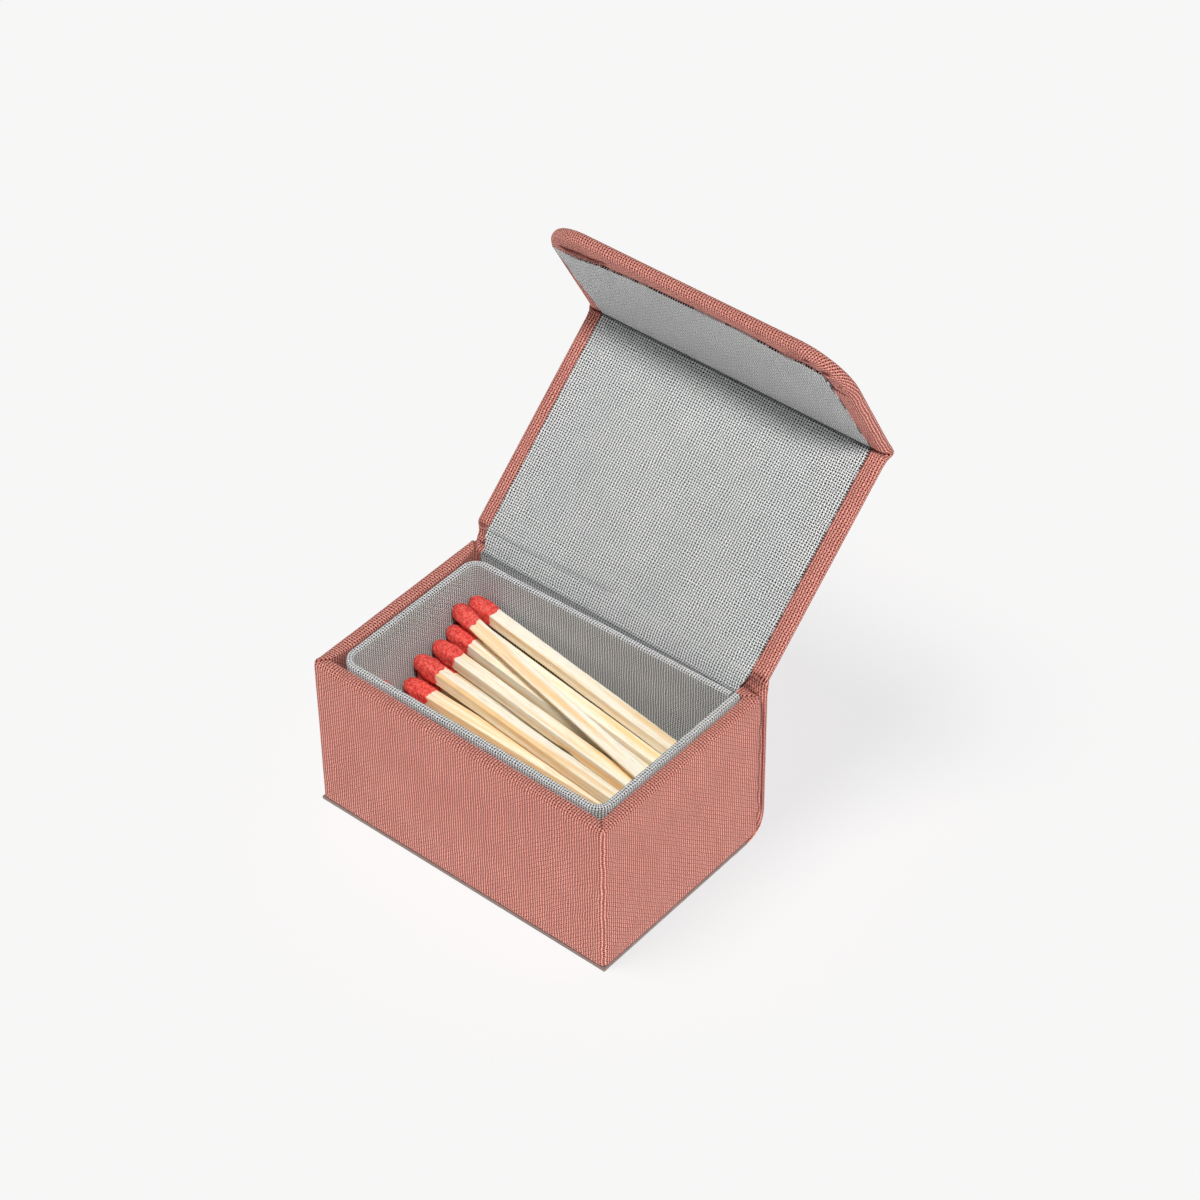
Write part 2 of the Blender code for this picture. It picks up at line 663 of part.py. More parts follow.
def stick_mesh():
    """A square stick along +X, behind the head."""
    half = STICK / 2
    return box((HEAD_LENGTH + GLUE, MATCH_LENGTH), (-half, half), (-half, half))


def match_place(tip, tail, roll):
    """The matrix that lays a match from its tip towards its tail, rolled about its own length."""
    along = (tail - tip).normalized()
    side = Vector((0.0, 0.0, 1.0)).cross(along).normalized()
    up = along.cross(side)
    turned = Matrix((along, side, up)).transposed().to_4x4()
    return Matrix.Translation(tip) @ turned @ Matrix.Rotation(roll, 4, "X")


def spread(places, pitch):
    """Places across the liner, in rising order, kept inside it and at least a pitch apart."""
    low = MATCH_GAP + HEAD_WIDTH / 2
    high = INSIDE_BACK - INSIDE_FRONT - low
    kept = []
    for place in places:
        kept.append(max(place, low if not kept else kept[-1] + pitch))
    for index in reversed(range(len(kept))):
        kept[index] = min(kept[index], high if index == len(kept) - 1 else kept[index + 1] - pitch)
    return kept


# The matches that can be told apart, row by row upwards and each row from the front: name, then how far
# behind the liner's front inner face the middles of its head and of its tail lie.
LOOSE_ROWS = [
    [
        ("match_10", 0.0043, 0.0043),
        ("match_11", 0.0079, 0.0079),
        ("match_6", 0.0122, 0.0139),
        ("match_8", 0.0157, 0.0167),
        ("match_12", 0.0193, 0.0194),
        ("match_13", 0.0228, 0.0228),
        ("match_14", 0.0263, 0.0263),
    ],
    [
        ("match_15", 0.0018, 0.0018),
        ("match_16", 0.0052, 0.0052),
        ("match_5", 0.0150, 0.0139),
        ("match_4", 0.0197, 0.0178),
        ("match_3", 0.0235, 0.0214),
        ("match_9", 0.0270, 0.0246),
    ],
    [
        ("match_7", 0.0034, 0.0040),
        ("match_1", 0.0254, 0.0187),
        ("match_2", 0.0290, 0.0268),
    ],
]

# Those that lie out of their row: towards the left, head up, tail up, and rolled by an angle.
OUT_OF_ROW = {
    "match_1": (0.0003, 0.0007, 0.0004, math.radians(28)),
    "match_3": (0.0003, 0.0005, 0.0, 0.0),
    "match_7": (0.0002, -0.0003, 0.0, 0.0),
}


def build_loose_matches(wood_finish, head_finish):
    for above, row in enumerate(LOOSE_ROWS):
        heads = spread([match[1] for match in row], HEAD_PITCH)
        tails = spread([match[2] for match in row], STICK + MATCH_GAP)
        for (name, _, _), head_y, tail_y in zip(row, heads, tails):
            leftwards, head_up, tail_up, roll = OUT_OF_ROW.get(name, (0.0, 0.0, 0.0, 0.0))
            tip_x = INSIDE_LEFT + ROOM_AT_HEADS - leftwards
            tip_z = head_height(LOWER_ROWS + above) + head_up
            tail_z = tail_height(LOWER_ROWS + above) + tail_up
            tip = Vector((tip_x, INSIDE_FRONT + head_y, tip_z))
            tail = Vector((tip_x + MATCH_LENGTH, INSIDE_FRONT + tail_y, tail_z))
            place = match_place(tip, tail, roll)
            stick = add_object(name + "_stick", stick_mesh(), wood_finish)
            head = add_object(name + "_head", head_mesh(), head_finish)
            head.data.shade_smooth()
            for piece in (stick, head):
                piece.matrix_world = place


def row_places():
    """Where the matches of a full row lie, from front to back."""
    first = INSIDE_FRONT + MATCH_GAP + HEAD_WIDTH / 2
    last = INSIDE_BACK - MATCH_GAP - HEAD_WIDTH / 2
    pitch = (last - first) / (MATCHES_PER_ROW - 1)
    return [first + place * pitch for place in range(MATCHES_PER_ROW)]


def build_lower_sticks(finish):
    """The full rows of sticks as one solid: the top row stands out in ridges, the rest is their outline."""
    top = LOWER_ROWS - 1
    half = STICK / 2
    places = row_places()
    outline = [(places[0] - half, 0, -half), (places[-1] + half, 0, -half)]
    for place in reversed(places):
        grooved = place != places[-1]
        outline += [(place + half, top, -half)] if grooved else []
        outline += [(place + half, top, half), (place - half, top, half)]
        outline += [(place - half, top, -half)] if place != places[0] else []
    tip_x = INSIDE_LEFT + ROOM_AT_HEADS
    near = [(tip_x + HEAD_LENGTH + GLUE, y, head_height(row) + up) for y, row, up in outline]
    far = [(tip_x + MATCH_LENGTH, y, tail_height(row) + up) for y, row, up in outline]
    add_object("lower_match_sticks", loft([near, far]), finish)


def build_lower_heads(finish):
    """The heads of the full rows as one solid: a lobe for each head around the outside of the stack."""
    ys = row_places()
    rows = range(LOWER_ROWS)
    front_to_back = [(y, rows[0]) for y in ys]
    upwards = [(ys[-1], row) for row in rows]
    back_to_front = [(y, rows[-1]) for y in reversed(ys)]
    downwards = [(ys[0], row) for row in reversed(rows)]
    tip_x = INSIDE_LEFT + ROOM_AT_HEADS
    bridge = math.radians(20)
    rings = []
    for along, share in HEAD_PROFILE[1::2]:
        radius = share * HEAD_WIDTH / 2
        down = along * HEAD_LENGTH / MATCH_LENGTH
        outline = []
        for side, places in enumerate((front_to_back, upwards, back_to_front, downwards)):
            begin = math.pi * (1 + side / 2)
            for y, row in places[:-1]:
                centre = (y, head_height(row) + down * (tail_height(row) - head_height(row)))
                round_corner = math.pi / 2 if (y, row) == places[0] else 0.0
                start = begin + bridge - round_corner
                outline += arc(centre, radius, start, begin + math.pi - bridge, LOBE_STEPS)
        rings.append([(tip_x + along * HEAD_LENGTH, y, z) for y, z in outline])
    add_object("lower_match_heads", loft(rings), finish)


def main():
    clear_scene()
    pink = material("pink_book_cloth", (0.62, 0.24, 0.20), 0.85)
    grey = material("grey_book_cloth", (0.50, 0.52, 0.52), 0.85)
    board = material("grey_board", (0.36, 0.33, 0.29), 0.9)
    sheet = material("striking_surface", (0.22, 0.16, 0.14), 0.95)
    wood = material("match_wood", (0.86, 0.72, 0.50), 0.6)
    red = material("match_head", (0.70, 0.05, 0.04), 0.7)
    metal = material("magnet_nickel", (0.66, 0.65, 0.63), 0.3, 1.0)

    build_tray_cloth(pink)
    boards = build_tray_boards(board)
    build_base_sheet(sheet)
    build_front_magnet(boards["front_board"], metal)
    build_liner(grey, board)
    build_floor(grey, board)
    build_rear_panel(pink, board)
    build_lid_hinge(pink, grey)

    lid_pivot = add_empty("lid_axis", LID_PIVOT, LID_OPEN_ANGLE)
    build_lid(lid_pivot, pink, grey, board)
    fold = add_empty("fold_line", (0.0, LID_FOLD, LID_INNER), 0.0, lid_pivot)
    build_fold(fold, pink, grey)
    flap_pivot = add_empty("flap_axis", (0.0, LID_FOLD, LID_INNER), FLAP_FOLD_ANGLE, lid_pivot)
    build_flap(flap_pivot, pink, grey, board, metal)

    build_loose_matches(wood, red)
    build_lower_sticks(wood)
    build_lower_heads(red)


main()
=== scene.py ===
"""The looks of a small cloth-covered matchbox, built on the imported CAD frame.

Sizes are in metres. Every UV map is in millimetres, so that a thread or a grain has its true scale.
"""

import json
import math

import bmesh
import bpy
import numpy as np
from mathutils import Matrix, Vector, noise

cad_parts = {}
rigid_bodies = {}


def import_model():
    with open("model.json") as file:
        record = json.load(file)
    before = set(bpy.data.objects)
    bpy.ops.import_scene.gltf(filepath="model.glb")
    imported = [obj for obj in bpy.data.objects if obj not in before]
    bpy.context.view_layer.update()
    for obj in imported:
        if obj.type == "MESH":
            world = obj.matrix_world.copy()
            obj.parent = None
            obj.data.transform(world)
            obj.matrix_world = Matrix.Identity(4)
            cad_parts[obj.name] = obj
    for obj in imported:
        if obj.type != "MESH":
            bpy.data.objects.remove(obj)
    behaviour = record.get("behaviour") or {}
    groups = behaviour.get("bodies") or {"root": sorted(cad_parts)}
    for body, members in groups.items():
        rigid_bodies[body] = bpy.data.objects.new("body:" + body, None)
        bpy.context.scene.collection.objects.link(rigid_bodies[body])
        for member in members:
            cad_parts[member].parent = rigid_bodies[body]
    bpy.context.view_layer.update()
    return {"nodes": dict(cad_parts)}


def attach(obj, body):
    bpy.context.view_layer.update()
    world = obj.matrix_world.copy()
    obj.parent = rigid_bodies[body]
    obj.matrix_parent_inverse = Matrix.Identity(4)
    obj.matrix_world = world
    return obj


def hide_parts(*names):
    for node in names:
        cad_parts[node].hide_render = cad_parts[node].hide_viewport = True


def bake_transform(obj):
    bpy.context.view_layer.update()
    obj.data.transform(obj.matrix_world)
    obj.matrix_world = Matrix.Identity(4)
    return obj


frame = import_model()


# ----------------------------------------
# View. The box is seen from its front right and from above, with a long lens. The lens is turned about
# the upright, tipped up from straight down, and rolled a little.

LENS = 109.19
VIEW_FROM = (0.28742, -0.32056, 0.43468)
VIEW_TURNS = ((40.468, "Z"), (90.0 - 41.900, "X"), (-0.729, "Z"))


def new_object(name, data):
    """An object for a camera, a lamp, a mesh or a curve, put in the scene."""
    made = bpy.data.objects.new(name, data)
    bpy.context.scene.collection.objects.link(made)
    return made


lens = bpy.data.cameras.new("view")
lens.sensor_width = 36.0
lens.lens = LENS
view = new_object("view", lens)
placed = Matrix.Translation(VIEW_FROM)
for turn, axis in VIEW_TURNS:
    placed = placed @ Matrix.Rotation(math.radians(turn), 4, axis)
view.matrix_world = placed
bpy.context.scene.camera = view


# ----------------------------------------
# Studio. A white paper sweep that throws light back up from all round, a dim even sky, a small light
# high at the front right and two weak wide ones, from the right and the left. These are flagged off the
# paper, which has a light of its own, from the left, for the faint shadow at the box's right.

# The paper is seen as an even white. It is lit with a dull colour of its own, which sets how deep the
# shadow is, and glows with what is left.
PAPER_SEEN = (0.930, 0.930, 0.930)
PAPER_DEPTH = (0.22, 0.21, 0.19)
PAPER_BOUNCE = 1.50
PAPER_REACH = 3.0
SKY = (0.97, 0.985, 1.0)
SKY_LEVEL = 0.05
LAMP_TINT = (1.0, 0.988, 0.97)
# Each light's name, where it comes from, its level, its width in degrees, and what it lights.
LIGHTS = (
    ("high_light", (0.42, -0.385, 1.0), 2.75, 9.0, "box"),
    ("right_light", (0.90, -0.20, 0.65), 0.30, 35.0, "box"),
    ("left_light", (-0.80, -0.45, 0.85), 0.42, 40.0, "box"),
    ("shadow_light", (-0.22, -0.32, 1.0), 2.30, 30.0, "paper"),
)


def add_node(tree, kind, inputs=(), **settings):
    """A node with its settings made and its inputs set, or linked where an input is another's output."""
    made = tree.nodes.new(kind)
    for name, value in settings.items():
        setattr(made, name, value)
    for name, value in dict(inputs).items():
        if isinstance(value, bpy.types.NodeSocket):
            tree.links.new(value, made.inputs[name])
        else:
            made.inputs[name].default_value = value
    return made


def calc(tree, operation, *values):
    """A sum worked out by a Math node, from numbers and other nodes' outputs."""
    return add_node(tree, "ShaderNodeMath", dict(enumerate(values)), operation=operation).outputs[0]


def seen_directly(tree):
    """1 for what the camera sees itself, or in metal or glass, and 0 for the light that things receive."""
    path = add_node(tree, "ShaderNodeLightPath").outputs
    mirrored = calc(tree, "MAXIMUM", path["Is Glossy Ray"], path["Is Transmission Ray"])
    return calc(tree, "MAXIMUM", path["Is Camera Ray"], mirrored)


def show_only(tree, given, seen, output):
    """Sends one shader to the output as the light that things receive, and another as what is seen."""
    chosen = add_node(tree, "ShaderNodeMixShader", {0: seen_directly(tree), 1: given, 2: seen})
    tree.links.new(chosen.outputs[0], output.inputs["Surface"])


bpy.context.scene.view_settings.view_transform = "Standard"
world = bpy.data.worlds.new("studio")
world.use_nodes = True
bpy.context.scene.world = world
tree = world.node_tree
ambient = tree.nodes["Background"]
ambient.inputs["Color"].default_value = (*SKY, 1.0)
ambient.inputs["Strength"].default_value = SKY_LEVEL
backdrop = add_node(tree, "ShaderNodeBackground", {"Color": (*PAPER_SEEN, 1.0), "Strength": 1.0})
show_only(tree, ambient.outputs[0], backdrop.outputs[0], tree.nodes["World Output"])

falling = SKY_LEVEL
for name, source, level, width, lights_up in LIGHTS:
    lamp = bpy.data.lights.new(name, "SUN")
    lamp.energy = level
    lamp.angle = math.radians(width)
    lamp.color = LAMP_TINT
    light = new_object(name, lamp)
    light.rotation_euler = Vector(source).to_track_quat("Z", "Y").to_euler()
    if lights_up == "paper":
        falling += level / math.pi * Vector(source).normalized().z

paper = bpy.data.materials.new("white_paper")
paper.use_nodes = True
tree = paper.node_tree
lit = tree.nodes["Principled BSDF"]
lit.inputs["Base Color"].default_value = (*PAPER_DEPTH, 1.0)
lit.inputs["Roughness"].default_value = 0.95
lit.inputs["Specular IOR Level"].default_value = 0.0
glow_colour = [seen - falling * depth for seen, depth in zip(PAPER_SEEN, PAPER_DEPTH)]
glow = add_node(tree, "ShaderNodeEmission", {"Color": (*glow_colour, 1.0), "Strength": 1.0})
shown = add_node(tree, "ShaderNodeAddShader", {0: lit.outputs[0], 1: glow.outputs[0]})
bounce = add_node(tree, "ShaderNodeEmission", {"Color": (1.0, 1.0, 1.0, 1.0), "Strength": PAPER_BOUNCE})
show_only(tree, bounce.outputs[0], shown.outputs[0], tree.nodes["Material Output"])
paper.cycles.emission_sampling = "NONE"

sweep = bpy.data.meshes.new("paper_sweep")
corners = [(PAPER_REACH * x, PAPER_REACH * y, 0) for x, y in ((-1, -1), (1, -1), (1, 1), (-1, 1))]
sweep.from_pydata(corners, [], [(0, 1, 2, 3)])
sweep.materials.append(paper)
floor = new_object("paper_sweep", sweep)
receivers = {}
for lights_up, state in (("box", "EXCLUDE"), ("paper", "INCLUDE")):
    receivers[lights_up] = bpy.data.collections.new("lit_" + lights_up)
    receivers[lights_up].objects.link(floor)
    receivers[lights_up].collection_objects[0].light_linking.link_state = state
for name, *_, lights_up in LIGHTS:
    bpy.data.objects[name].light_linking.receiver_collection = receivers[lights_up]


# ----------------------------------------
# Boards. Pressed grey board cut square: five pieces glued up into the tray, three in the cover, and
# thinner card in the liner and under its floor. The CAD shapes are right and stay; all are hidden.

BOARDS = (
    "base_board", "front_board", "rear_board", "left_board", "right_board",
    "rear_panel_board", "lid_board", "flap_board", "liner_card", "floor_card",
)


def new_finish(name, roughness, specular=0.25):
    """An empty material with its shader, ready for its pattern."""
    made = bpy.data.materials.new(name)
    made.use_nodes = True
    shader = made.node_tree.nodes["Principled BSDF"]
    shader.inputs["Roughness"].default_value = roughness
    shader.inputs["Specular IOR Level"].default_value = specular
    return made, made.node_tree, shader


def object_place(tree):
    """Where each point lies on its object, in metres."""
    return add_node(tree, "ShaderNodeTexCoord").outputs["Object"]


def uv_place(tree):
    """Where each point lies on its surface, in millimetres."""
    return add_node(tree, "ShaderNodeUVMap", uv_map="UVMap").outputs[0]


def noise_at(tree, place, scale, detail, dimensions="3D", **more):
    """A noise pattern at a place: its outputs."""
    inputs = {"Vector": place, "Scale": scale, "Detail": detail, **more}
    return add_node(tree, "ShaderNodeTexNoise", inputs, noise_dimensions=dimensions).outputs


def stretched(tree, value, times, plus):
    """A pattern's value stretched about its middle."""
    return calc(tree, "MULTIPLY_ADD", calc(tree, "SUBTRACT", value, 0.5), times, plus)


def two_tone(tree, share, first, second):
    """A colour between two others, each a colour or another node's output."""
    mix = add_node(tree, "ShaderNodeMix", {"Factor": share}, data_type="RGBA")
    for name, colour in (("A", first), ("B", second)):
        if isinstance(colour, bpy.types.NodeSocket):
            tree.links.new(colour, mix.inputs[name])
        else:
            mix.inputs[name].default_value = (*colour, 1.0)
    return mix.outputs["Result"]


def coat(tree, shader, colour, height, depth):
    """Gives a shader its colour, and bumps of a given depth in metres."""
    tree.links.new(colour, shader.inputs["Base Color"])
    bump = add_node(tree, "ShaderNodeBump", {"Strength": 1.0, "Distance": depth, "Height": height})
    tree.links.new(bump.outputs["Normal"], shader.inputs["Normal"])


def paint(names, finish):
    """Gives CAD pieces, which keep their shape, their finish."""
    for name in names:
        materials = frame["nodes"][name].data.materials
        materials.clear()
        materials.append(finish)


board, tree, shader = new_finish("grey_board", 0.92)
place = object_place(tree)
pulp = noise_at(tree, place, 2600.0, 6.0, Roughness=0.7)[0]
flecks = noise_at(tree, place, 420.0, 3.0)[0]
mixed = calc(tree, "MULTIPLY_ADD", pulp, 0.6, calc(tree, "MULTIPLY", flecks, 0.4))
coat(tree, shader, two_tone(tree, mixed, (0.24, 0.22, 0.19), (0.46, 0.42, 0.37)), pulp, 0.00004)
paint(BOARDS, board)


# ----------------------------------------
# Magnets. Two plated discs, one let into the front wall and one into the flap, which hold it shut. They
# are hidden under the cloth, and their CAD shapes stay.

nickel, tree, shader = new_finish("magnet_nickel", 0.28, 0.5)
shader.inputs["Metallic"].default_value = 1.0
wear = noise_at(tree, object_place(tree), 1800.0, 5.0)[0]
coat(tree, shader, two_tone(tree, wear, (0.50, 0.49, 0.46), (0.72, 0.71, 0.68)), wear, 0.00001)
paint(("front_magnet", "flap_magnet"), nickel)


# ----------------------------------------
# Tray cloth. One strip of dusty pink book cloth, paper-backed plain weave, glued round the walls,
# turned over the rim and 12 mm down inside, and turned under the base. It is mitred at the rim's corners.

TO_MM = 1000.0
CLOTH = 0.00035
HALF_WIDTH = 0.0310
HALF_DEPTH = 0.0201
RIM = 0.0317
WALL = 0.00225
TRAY_BOTTOM = 0.0007
UPRIGHT_EDGE = 0.0012
TURNED_IN = 0.0120
TURNED_UNDER = 0.0100
RIM_OUTER_ROUND = 0.00110
RIM_INNER_ROUND = 0.00035
BOTTOM_ROUND = 0.0004
LEFT_BULGE = 0.00060
BULGE_HEIGHT = 0.0309
BACK_ARC = (0.01705, 0.0048)
TRAY_BACK_RADIUS = 0.00435
UNEVEN = 0.00006
RIM_UNEVEN = 0.00007
MITRE_WIDTH = 0.00013
MITRE_RIDGE = (0.00045, 0.00035)
THREAD_BUMP = 0.00014
THREAD_WANDER = 0.5
STEP = 0.0012
# How far from each end of a wall its closer points lie.
NEAR_END = (0.0, 0.00012, 0.0003, 0.0006, 0.0011, 0.0018)
WELD = 2e-6


def new_group(name, kind, inputs, outputs):
    """A node group with its inputs and outputs named: the group, what it is given and what it gives."""
    group = bpy.data.node_groups.new(name, kind)
    for way, sockets in (("INPUT", inputs), ("OUTPUT", outputs)):
        for socket, value in sockets.items():
            group.interface.new_socket(socket, in_out=way, socket_type="NodeSocket" + value)
    return group, add_node(group, "NodeGroupInput").outputs, add_node(group, "NodeGroupOutput").inputs


def vector_calc(tree, operation, inputs):
    """A sum worked out by a Vector Math node."""
    return add_node(tree, "ShaderNodeVectorMath", inputs, operation=operation).outputs[0]


def shaken(tree, noise_colour, amount):
    """A random push either way, from a noise pattern's colour."""
    centred = vector_calc(tree, "SUBTRACT", {0: noise_colour, 1: (0.5, 0.5, 0.5)})
    return vector_calc(tree, "SCALE", {0: centred, "Scale": amount})


def joined(tree, *values):
    """A vector made of single values."""
    return add_node(tree, "ShaderNodeCombineXYZ", dict(enumerate(values))).outputs[0]


def ranged(tree, value, low, high, top=1.0, **settings):
    """How far a value has come between two limits, from 0 to the top."""
    limits = {"Value": value, "From Min": low, "From Max": high, "To Max": top}
    return add_node(tree, "ShaderNodeMapRange", limits, **settings).outputs[0]


def plain_weave():
    """Plain weave from a UV map in millimetres: how high the upper thread stands, and each thread's tone."""
    pitches = ("Pitch across", "Pitch along")
    inputs = {"UV": "Vector", **dict.fromkeys((*pitches, "Thread width", "Wander"), "Float")}
    outputs = dict.fromkeys(("Height", "Tone", "Upright on top"), "Float")
    tree, given, made = new_group("plain_weave", "ShaderNodeTree", inputs, outputs)
    drift = noise_at(tree, given["UV"], 0.35, 3.0, "2D")["Color"]
    placed = vector_calc(tree, "ADD", {0: given["UV"], 1: shaken(tree, drift, given["Wander"])})
    split = add_node(tree, "ShaderNodeSeparateXYZ", {0: placed}).outputs
    counts = [calc(tree, "DIVIDE", split[axis], given[pitch]) for axis, pitch in enumerate(pitches)]
    threads = [calc(tree, "FLOOR", count) for count in counts]
    waves = [calc(tree, "SINE", calc(tree, "MULTIPLY", count, math.pi)) for count in counts]
    turns = [calc(tree, "MULTIPLY_ADD", thread, math.pi, math.pi / 2) for thread in threads]
    signs = [calc(tree, "SINE", turn) for turn in turns]
    heights = []
    for axis, over in ((0, 0.32), (1, -0.32)):
        across = calc(tree, "SUBTRACT", calc(tree, "FRACT", counts[axis]), 0.5)
        share = calc(tree, "DIVIDE", calc(tree, "MULTIPLY", across, 2.0), given["Thread width"])
        left = calc(tree, "SUBTRACT", 1.0, calc(tree, "MULTIPLY", share, share))
        profile = calc(tree, "SQRT", calc(tree, "MAXIMUM", left, 0.0))
        rise = calc(tree, "MULTIPLY", calc(tree, "MULTIPLY", signs[axis], waves[1 - axis]), over)
        heights.append(calc(tree, "MULTIPLY", profile, calc(tree, "ADD", rise, 0.68)))
    upper = calc(tree, "GREATER_THAN", heights[0], heights[1])
    other = calc(tree, "ADD", threads[1], 517.0)
    which = add_node(tree, "ShaderNodeMix", {"Factor": upper, 2: other, 3: threads[0]}).outputs[0]
    along = add_node(tree, "ShaderNodeMix", {"Factor": upper, 2: counts[0], 3: counts[1]}).outputs[0]
    spot = joined(tree, calc(tree, "MULTIPLY", which, 7.31), calc(tree, "MULTIPLY", along, 0.07))
    tree.links.new(calc(tree, "MAXIMUM", *heights), made["Height"])
    tree.links.new(upper, made["Upright on top"])
    tree.links.new(noise_at(tree, spot, 1.0, 2.0, "2D")[0], made["Tone"])
    return tree


WEAVE = plain_weave()


def book_cloth(name, pitches, gap, dark, light, crosswise_shade, width, low, bloom):
    """Book cloth: threads of uneven tone over a darker colour in the gaps, partly the glue that shows there and
    partly painted shade between the threads, with a little fluff. The low sides of each thread fade into that
    colour as painted shade. The threads that run across it lie deeper and get painted shade by a share, and
    along a painted crease the threads are painted as dark as the gaps."""
    made, tree, shader = new_finish(name, 0.9, 0.15)
    shader.inputs["Sheen Weight"].default_value = bloom
    shader.inputs["Sheen Roughness"].default_value = 0.35
    uv = uv_place(tree)
    threads = {"UV": uv, "Pitch across": pitches[0], "Pitch along": pitches[1]}
    threads |= {"Thread width": width, "Wander": THREAD_WANDER}
    weave = add_node(tree, "ShaderNodeGroup", threads, node_tree=WEAVE).outputs
    fluff = noise_at(tree, uv, 5.5, 3.0, "2D")[0]
    patches = noise_at(tree, uv, 0.09, 3.0, "2D")[0]
    tone = calc(tree, "MULTIPLY_ADD", weave["Tone"], 1.3, -0.05)
    tone = stretched(tree, patches, 0.5, stretched(tree, fluff, 0.7, tone))
    height = calc(tree, "MULTIPLY_ADD", fluff, 0.16, weave["Height"])
    # Painted shade: the threads' low sides, the threads across and the painted creases are darkened towards the
    # gap colour.
    rise = ranged(tree, height, low + 0.08, low + 0.38, interpolation_type="SMOOTHSTEP")
    lit = calc(tree, "MULTIPLY_ADD", weave["Upright on top"], crosswise_shade, 1.0 - crosswise_shade)
    crease_shading = add_node(tree, "ShaderNodeAttribute", attribute_name="painted_crease_shade").outputs["Fac"]
    seen = calc(tree, "MULTIPLY", calc(tree, "MULTIPLY", rise, lit), calc(tree, "SUBTRACT", 1.0, crease_shading))
    colour = two_tone(tree, seen, gap, two_tone(tree, tone, dark, light))
    coat(tree, shader, colour, calc(tree, "MULTIPLY_ADD", fluff, 0.25, weave["Height"]), THREAD_BUMP)
    return made


# Its gap colour is partly glue and partly painted shade, and the threads across get painted shade by a share.
PINK_CLOTH = book_cloth(
    "pink_book_cloth",
    pitches=(0.507, 0.457),
    gap=(0.11, 0.009, 0.008),
    dark=(0.78, 0.305, 0.25),
    light=(0.99, 0.445, 0.365),
    crosswise_shade=0.36,
    width=0.55,
    low=0.27,
    bloom=0.05,
)


def final_mesh(source):
    """The plain mesh that an object's modifiers make of it."""
    bpy.context.view_layer.update()
    return bpy.data.meshes.new_from_object(source.evaluated_get(bpy.context.evaluated_depsgraph_get()))


def smooth(mesh, angle):
    """Smooth shading but for edges sharper than an angle in degrees."""
    mesh.shade_smooth()
    mesh.set_sharp_from_angle(angle=math.radians(angle))


def cloth_from_grids(name, grids, finish, thickness=CLOTH):
    """Cloth through grids of points, each a place and where it lies on the flat cloth, welded where they
    meet. The grids are its outer side, and its thickness goes inwards."""
    points, faces, threads = [], [], []
    for grid in grids:
        first = len(points)
        rows, columns = grid.shape[:2]
        known = grid.reshape(-1, 5)
        points += known[:, :3].tolist()
        for row in range(rows - 1):
            for column in range(columns - 1):
                corner = row * columns + column
                loop = [corner, corner + 1, corner + columns + 1, corner + columns]
                faces.append([first + index for index in loop])
                threads += [known[index, 3:] * TO_MM for index in loop]
    flat = bpy.data.meshes.new(name)
    flat.from_pydata(points, [], faces)
    flat.uv_layers.new(name="UVMap").data.foreach_set("uv", np.array(threads, np.float32).ravel())
    builder = bmesh.new()
    builder.from_mesh(flat)
    bmesh.ops.remove_doubles(builder, verts=builder.verts, dist=WELD)
    bmesh.ops.dissolve_degenerate(builder, edges=builder.edges, dist=WELD / 2)
    builder.to_mesh(flat)
    builder.free()
    flat.materials.append(finish)
    piece = new_object(name, flat)
    shell = piece.modifiers.new("thickness", "SOLIDIFY")
    shell.thickness = thickness
    shell.offset = -1.0
    piece.data = final_mesh(piece)
    piece.modifiers.clear()
    bpy.data.meshes.remove(flat)
    piece.data.name = name
    smooth(piece.data, 50)
    return piece


def paint_crease_shade(piece, line, width, amount):
    """Paints shade into the cloth along a line of places, where a crease pinches it in and little light would
    reach its threads; its shape stays, and the amount is how dark the painted shade is.
    """
    places = np.empty(len(piece.data.vertices) * 3, np.float32)
    piece.data.vertices.foreach_get("co", places)
    places = places.reshape(-1, 3)
    nearest = np.full(len(places), 1.0)
    for first, last in zip(np.array(line[:-1], float), np.array(line[1:], float)):
        run = last - first
        share = np.clip((places - first) @ run / (run @ run), 0.0, 1.0)
        nearest = np.minimum(nearest, np.linalg.norm(places - first - share[:, None] * run, axis=1))
    marks = piece.data.attributes.get("painted_crease_shade") or piece.data.attributes.new("painted_crease_shade", "FLOAT", "POINT")
    known = np.zeros(len(places), np.float32)
    marks.data.foreach_get("value", known)
    painted_shade = np.maximum(known, amount * np.exp(-((nearest / width) ** 2)))
    marks.data.foreach_set("value", painted_shade.astype(np.float32))


def bend(centre, radius, start, end, steps):
    """Points round a bend, between two angles in degrees."""
    angles = np.radians(np.linspace(start, end, steps + 1))
    return [(centre[0] + radius * math.cos(a), centre[1] + radius * math.sin(a)) for a in angles]


def path_length(points):
    """How far along a line of points each one lies."""
    steps = np.linalg.norm(np.diff(np.array(points, float), axis=0), axis=1)
    return np.concatenate(([0.0], np.cumsum(steps)))


def held(value):
    """A value held between 0 and 1."""
    return min(1.0, max(0.0, value))


def swell(offset, width):
    """A soft rise: 1 at no offset, and next to nothing two widths away."""
    return math.exp(-((offset / width) ** 2))


# The cloth's section from under the base, up the wall and over the rim to its end inside: each point is
# a distance in from the outer face, and a height.
section = [(inset, TRAY_BOTTOM) for inset in (TURNED_UNDER, 0.006, 0.003, 0.0012)]
section += bend((BOTTOM_ROUND, TRAY_BOTTOM + BOTTOM_ROUND), BOTTOM_ROUND, 270, 180, 3)
section += [(0.0, height) for height in np.linspace(0.0018, 0.0296, 22)]
section += bend((RIM_OUTER_ROUND, RIM - RIM_OUTER_ROUND), RIM_OUTER_ROUND, 180, 90, 6)
section += [(0.00125, RIM)]
section += bend((WALL - RIM_INNER_ROUND, RIM - RIM_INNER_ROUND), RIM_INNER_ROUND, 90, 0, 5)
section += [(WALL, height) for height in np.linspace(RIM - 0.002, RIM - TURNED_IN, 6)]


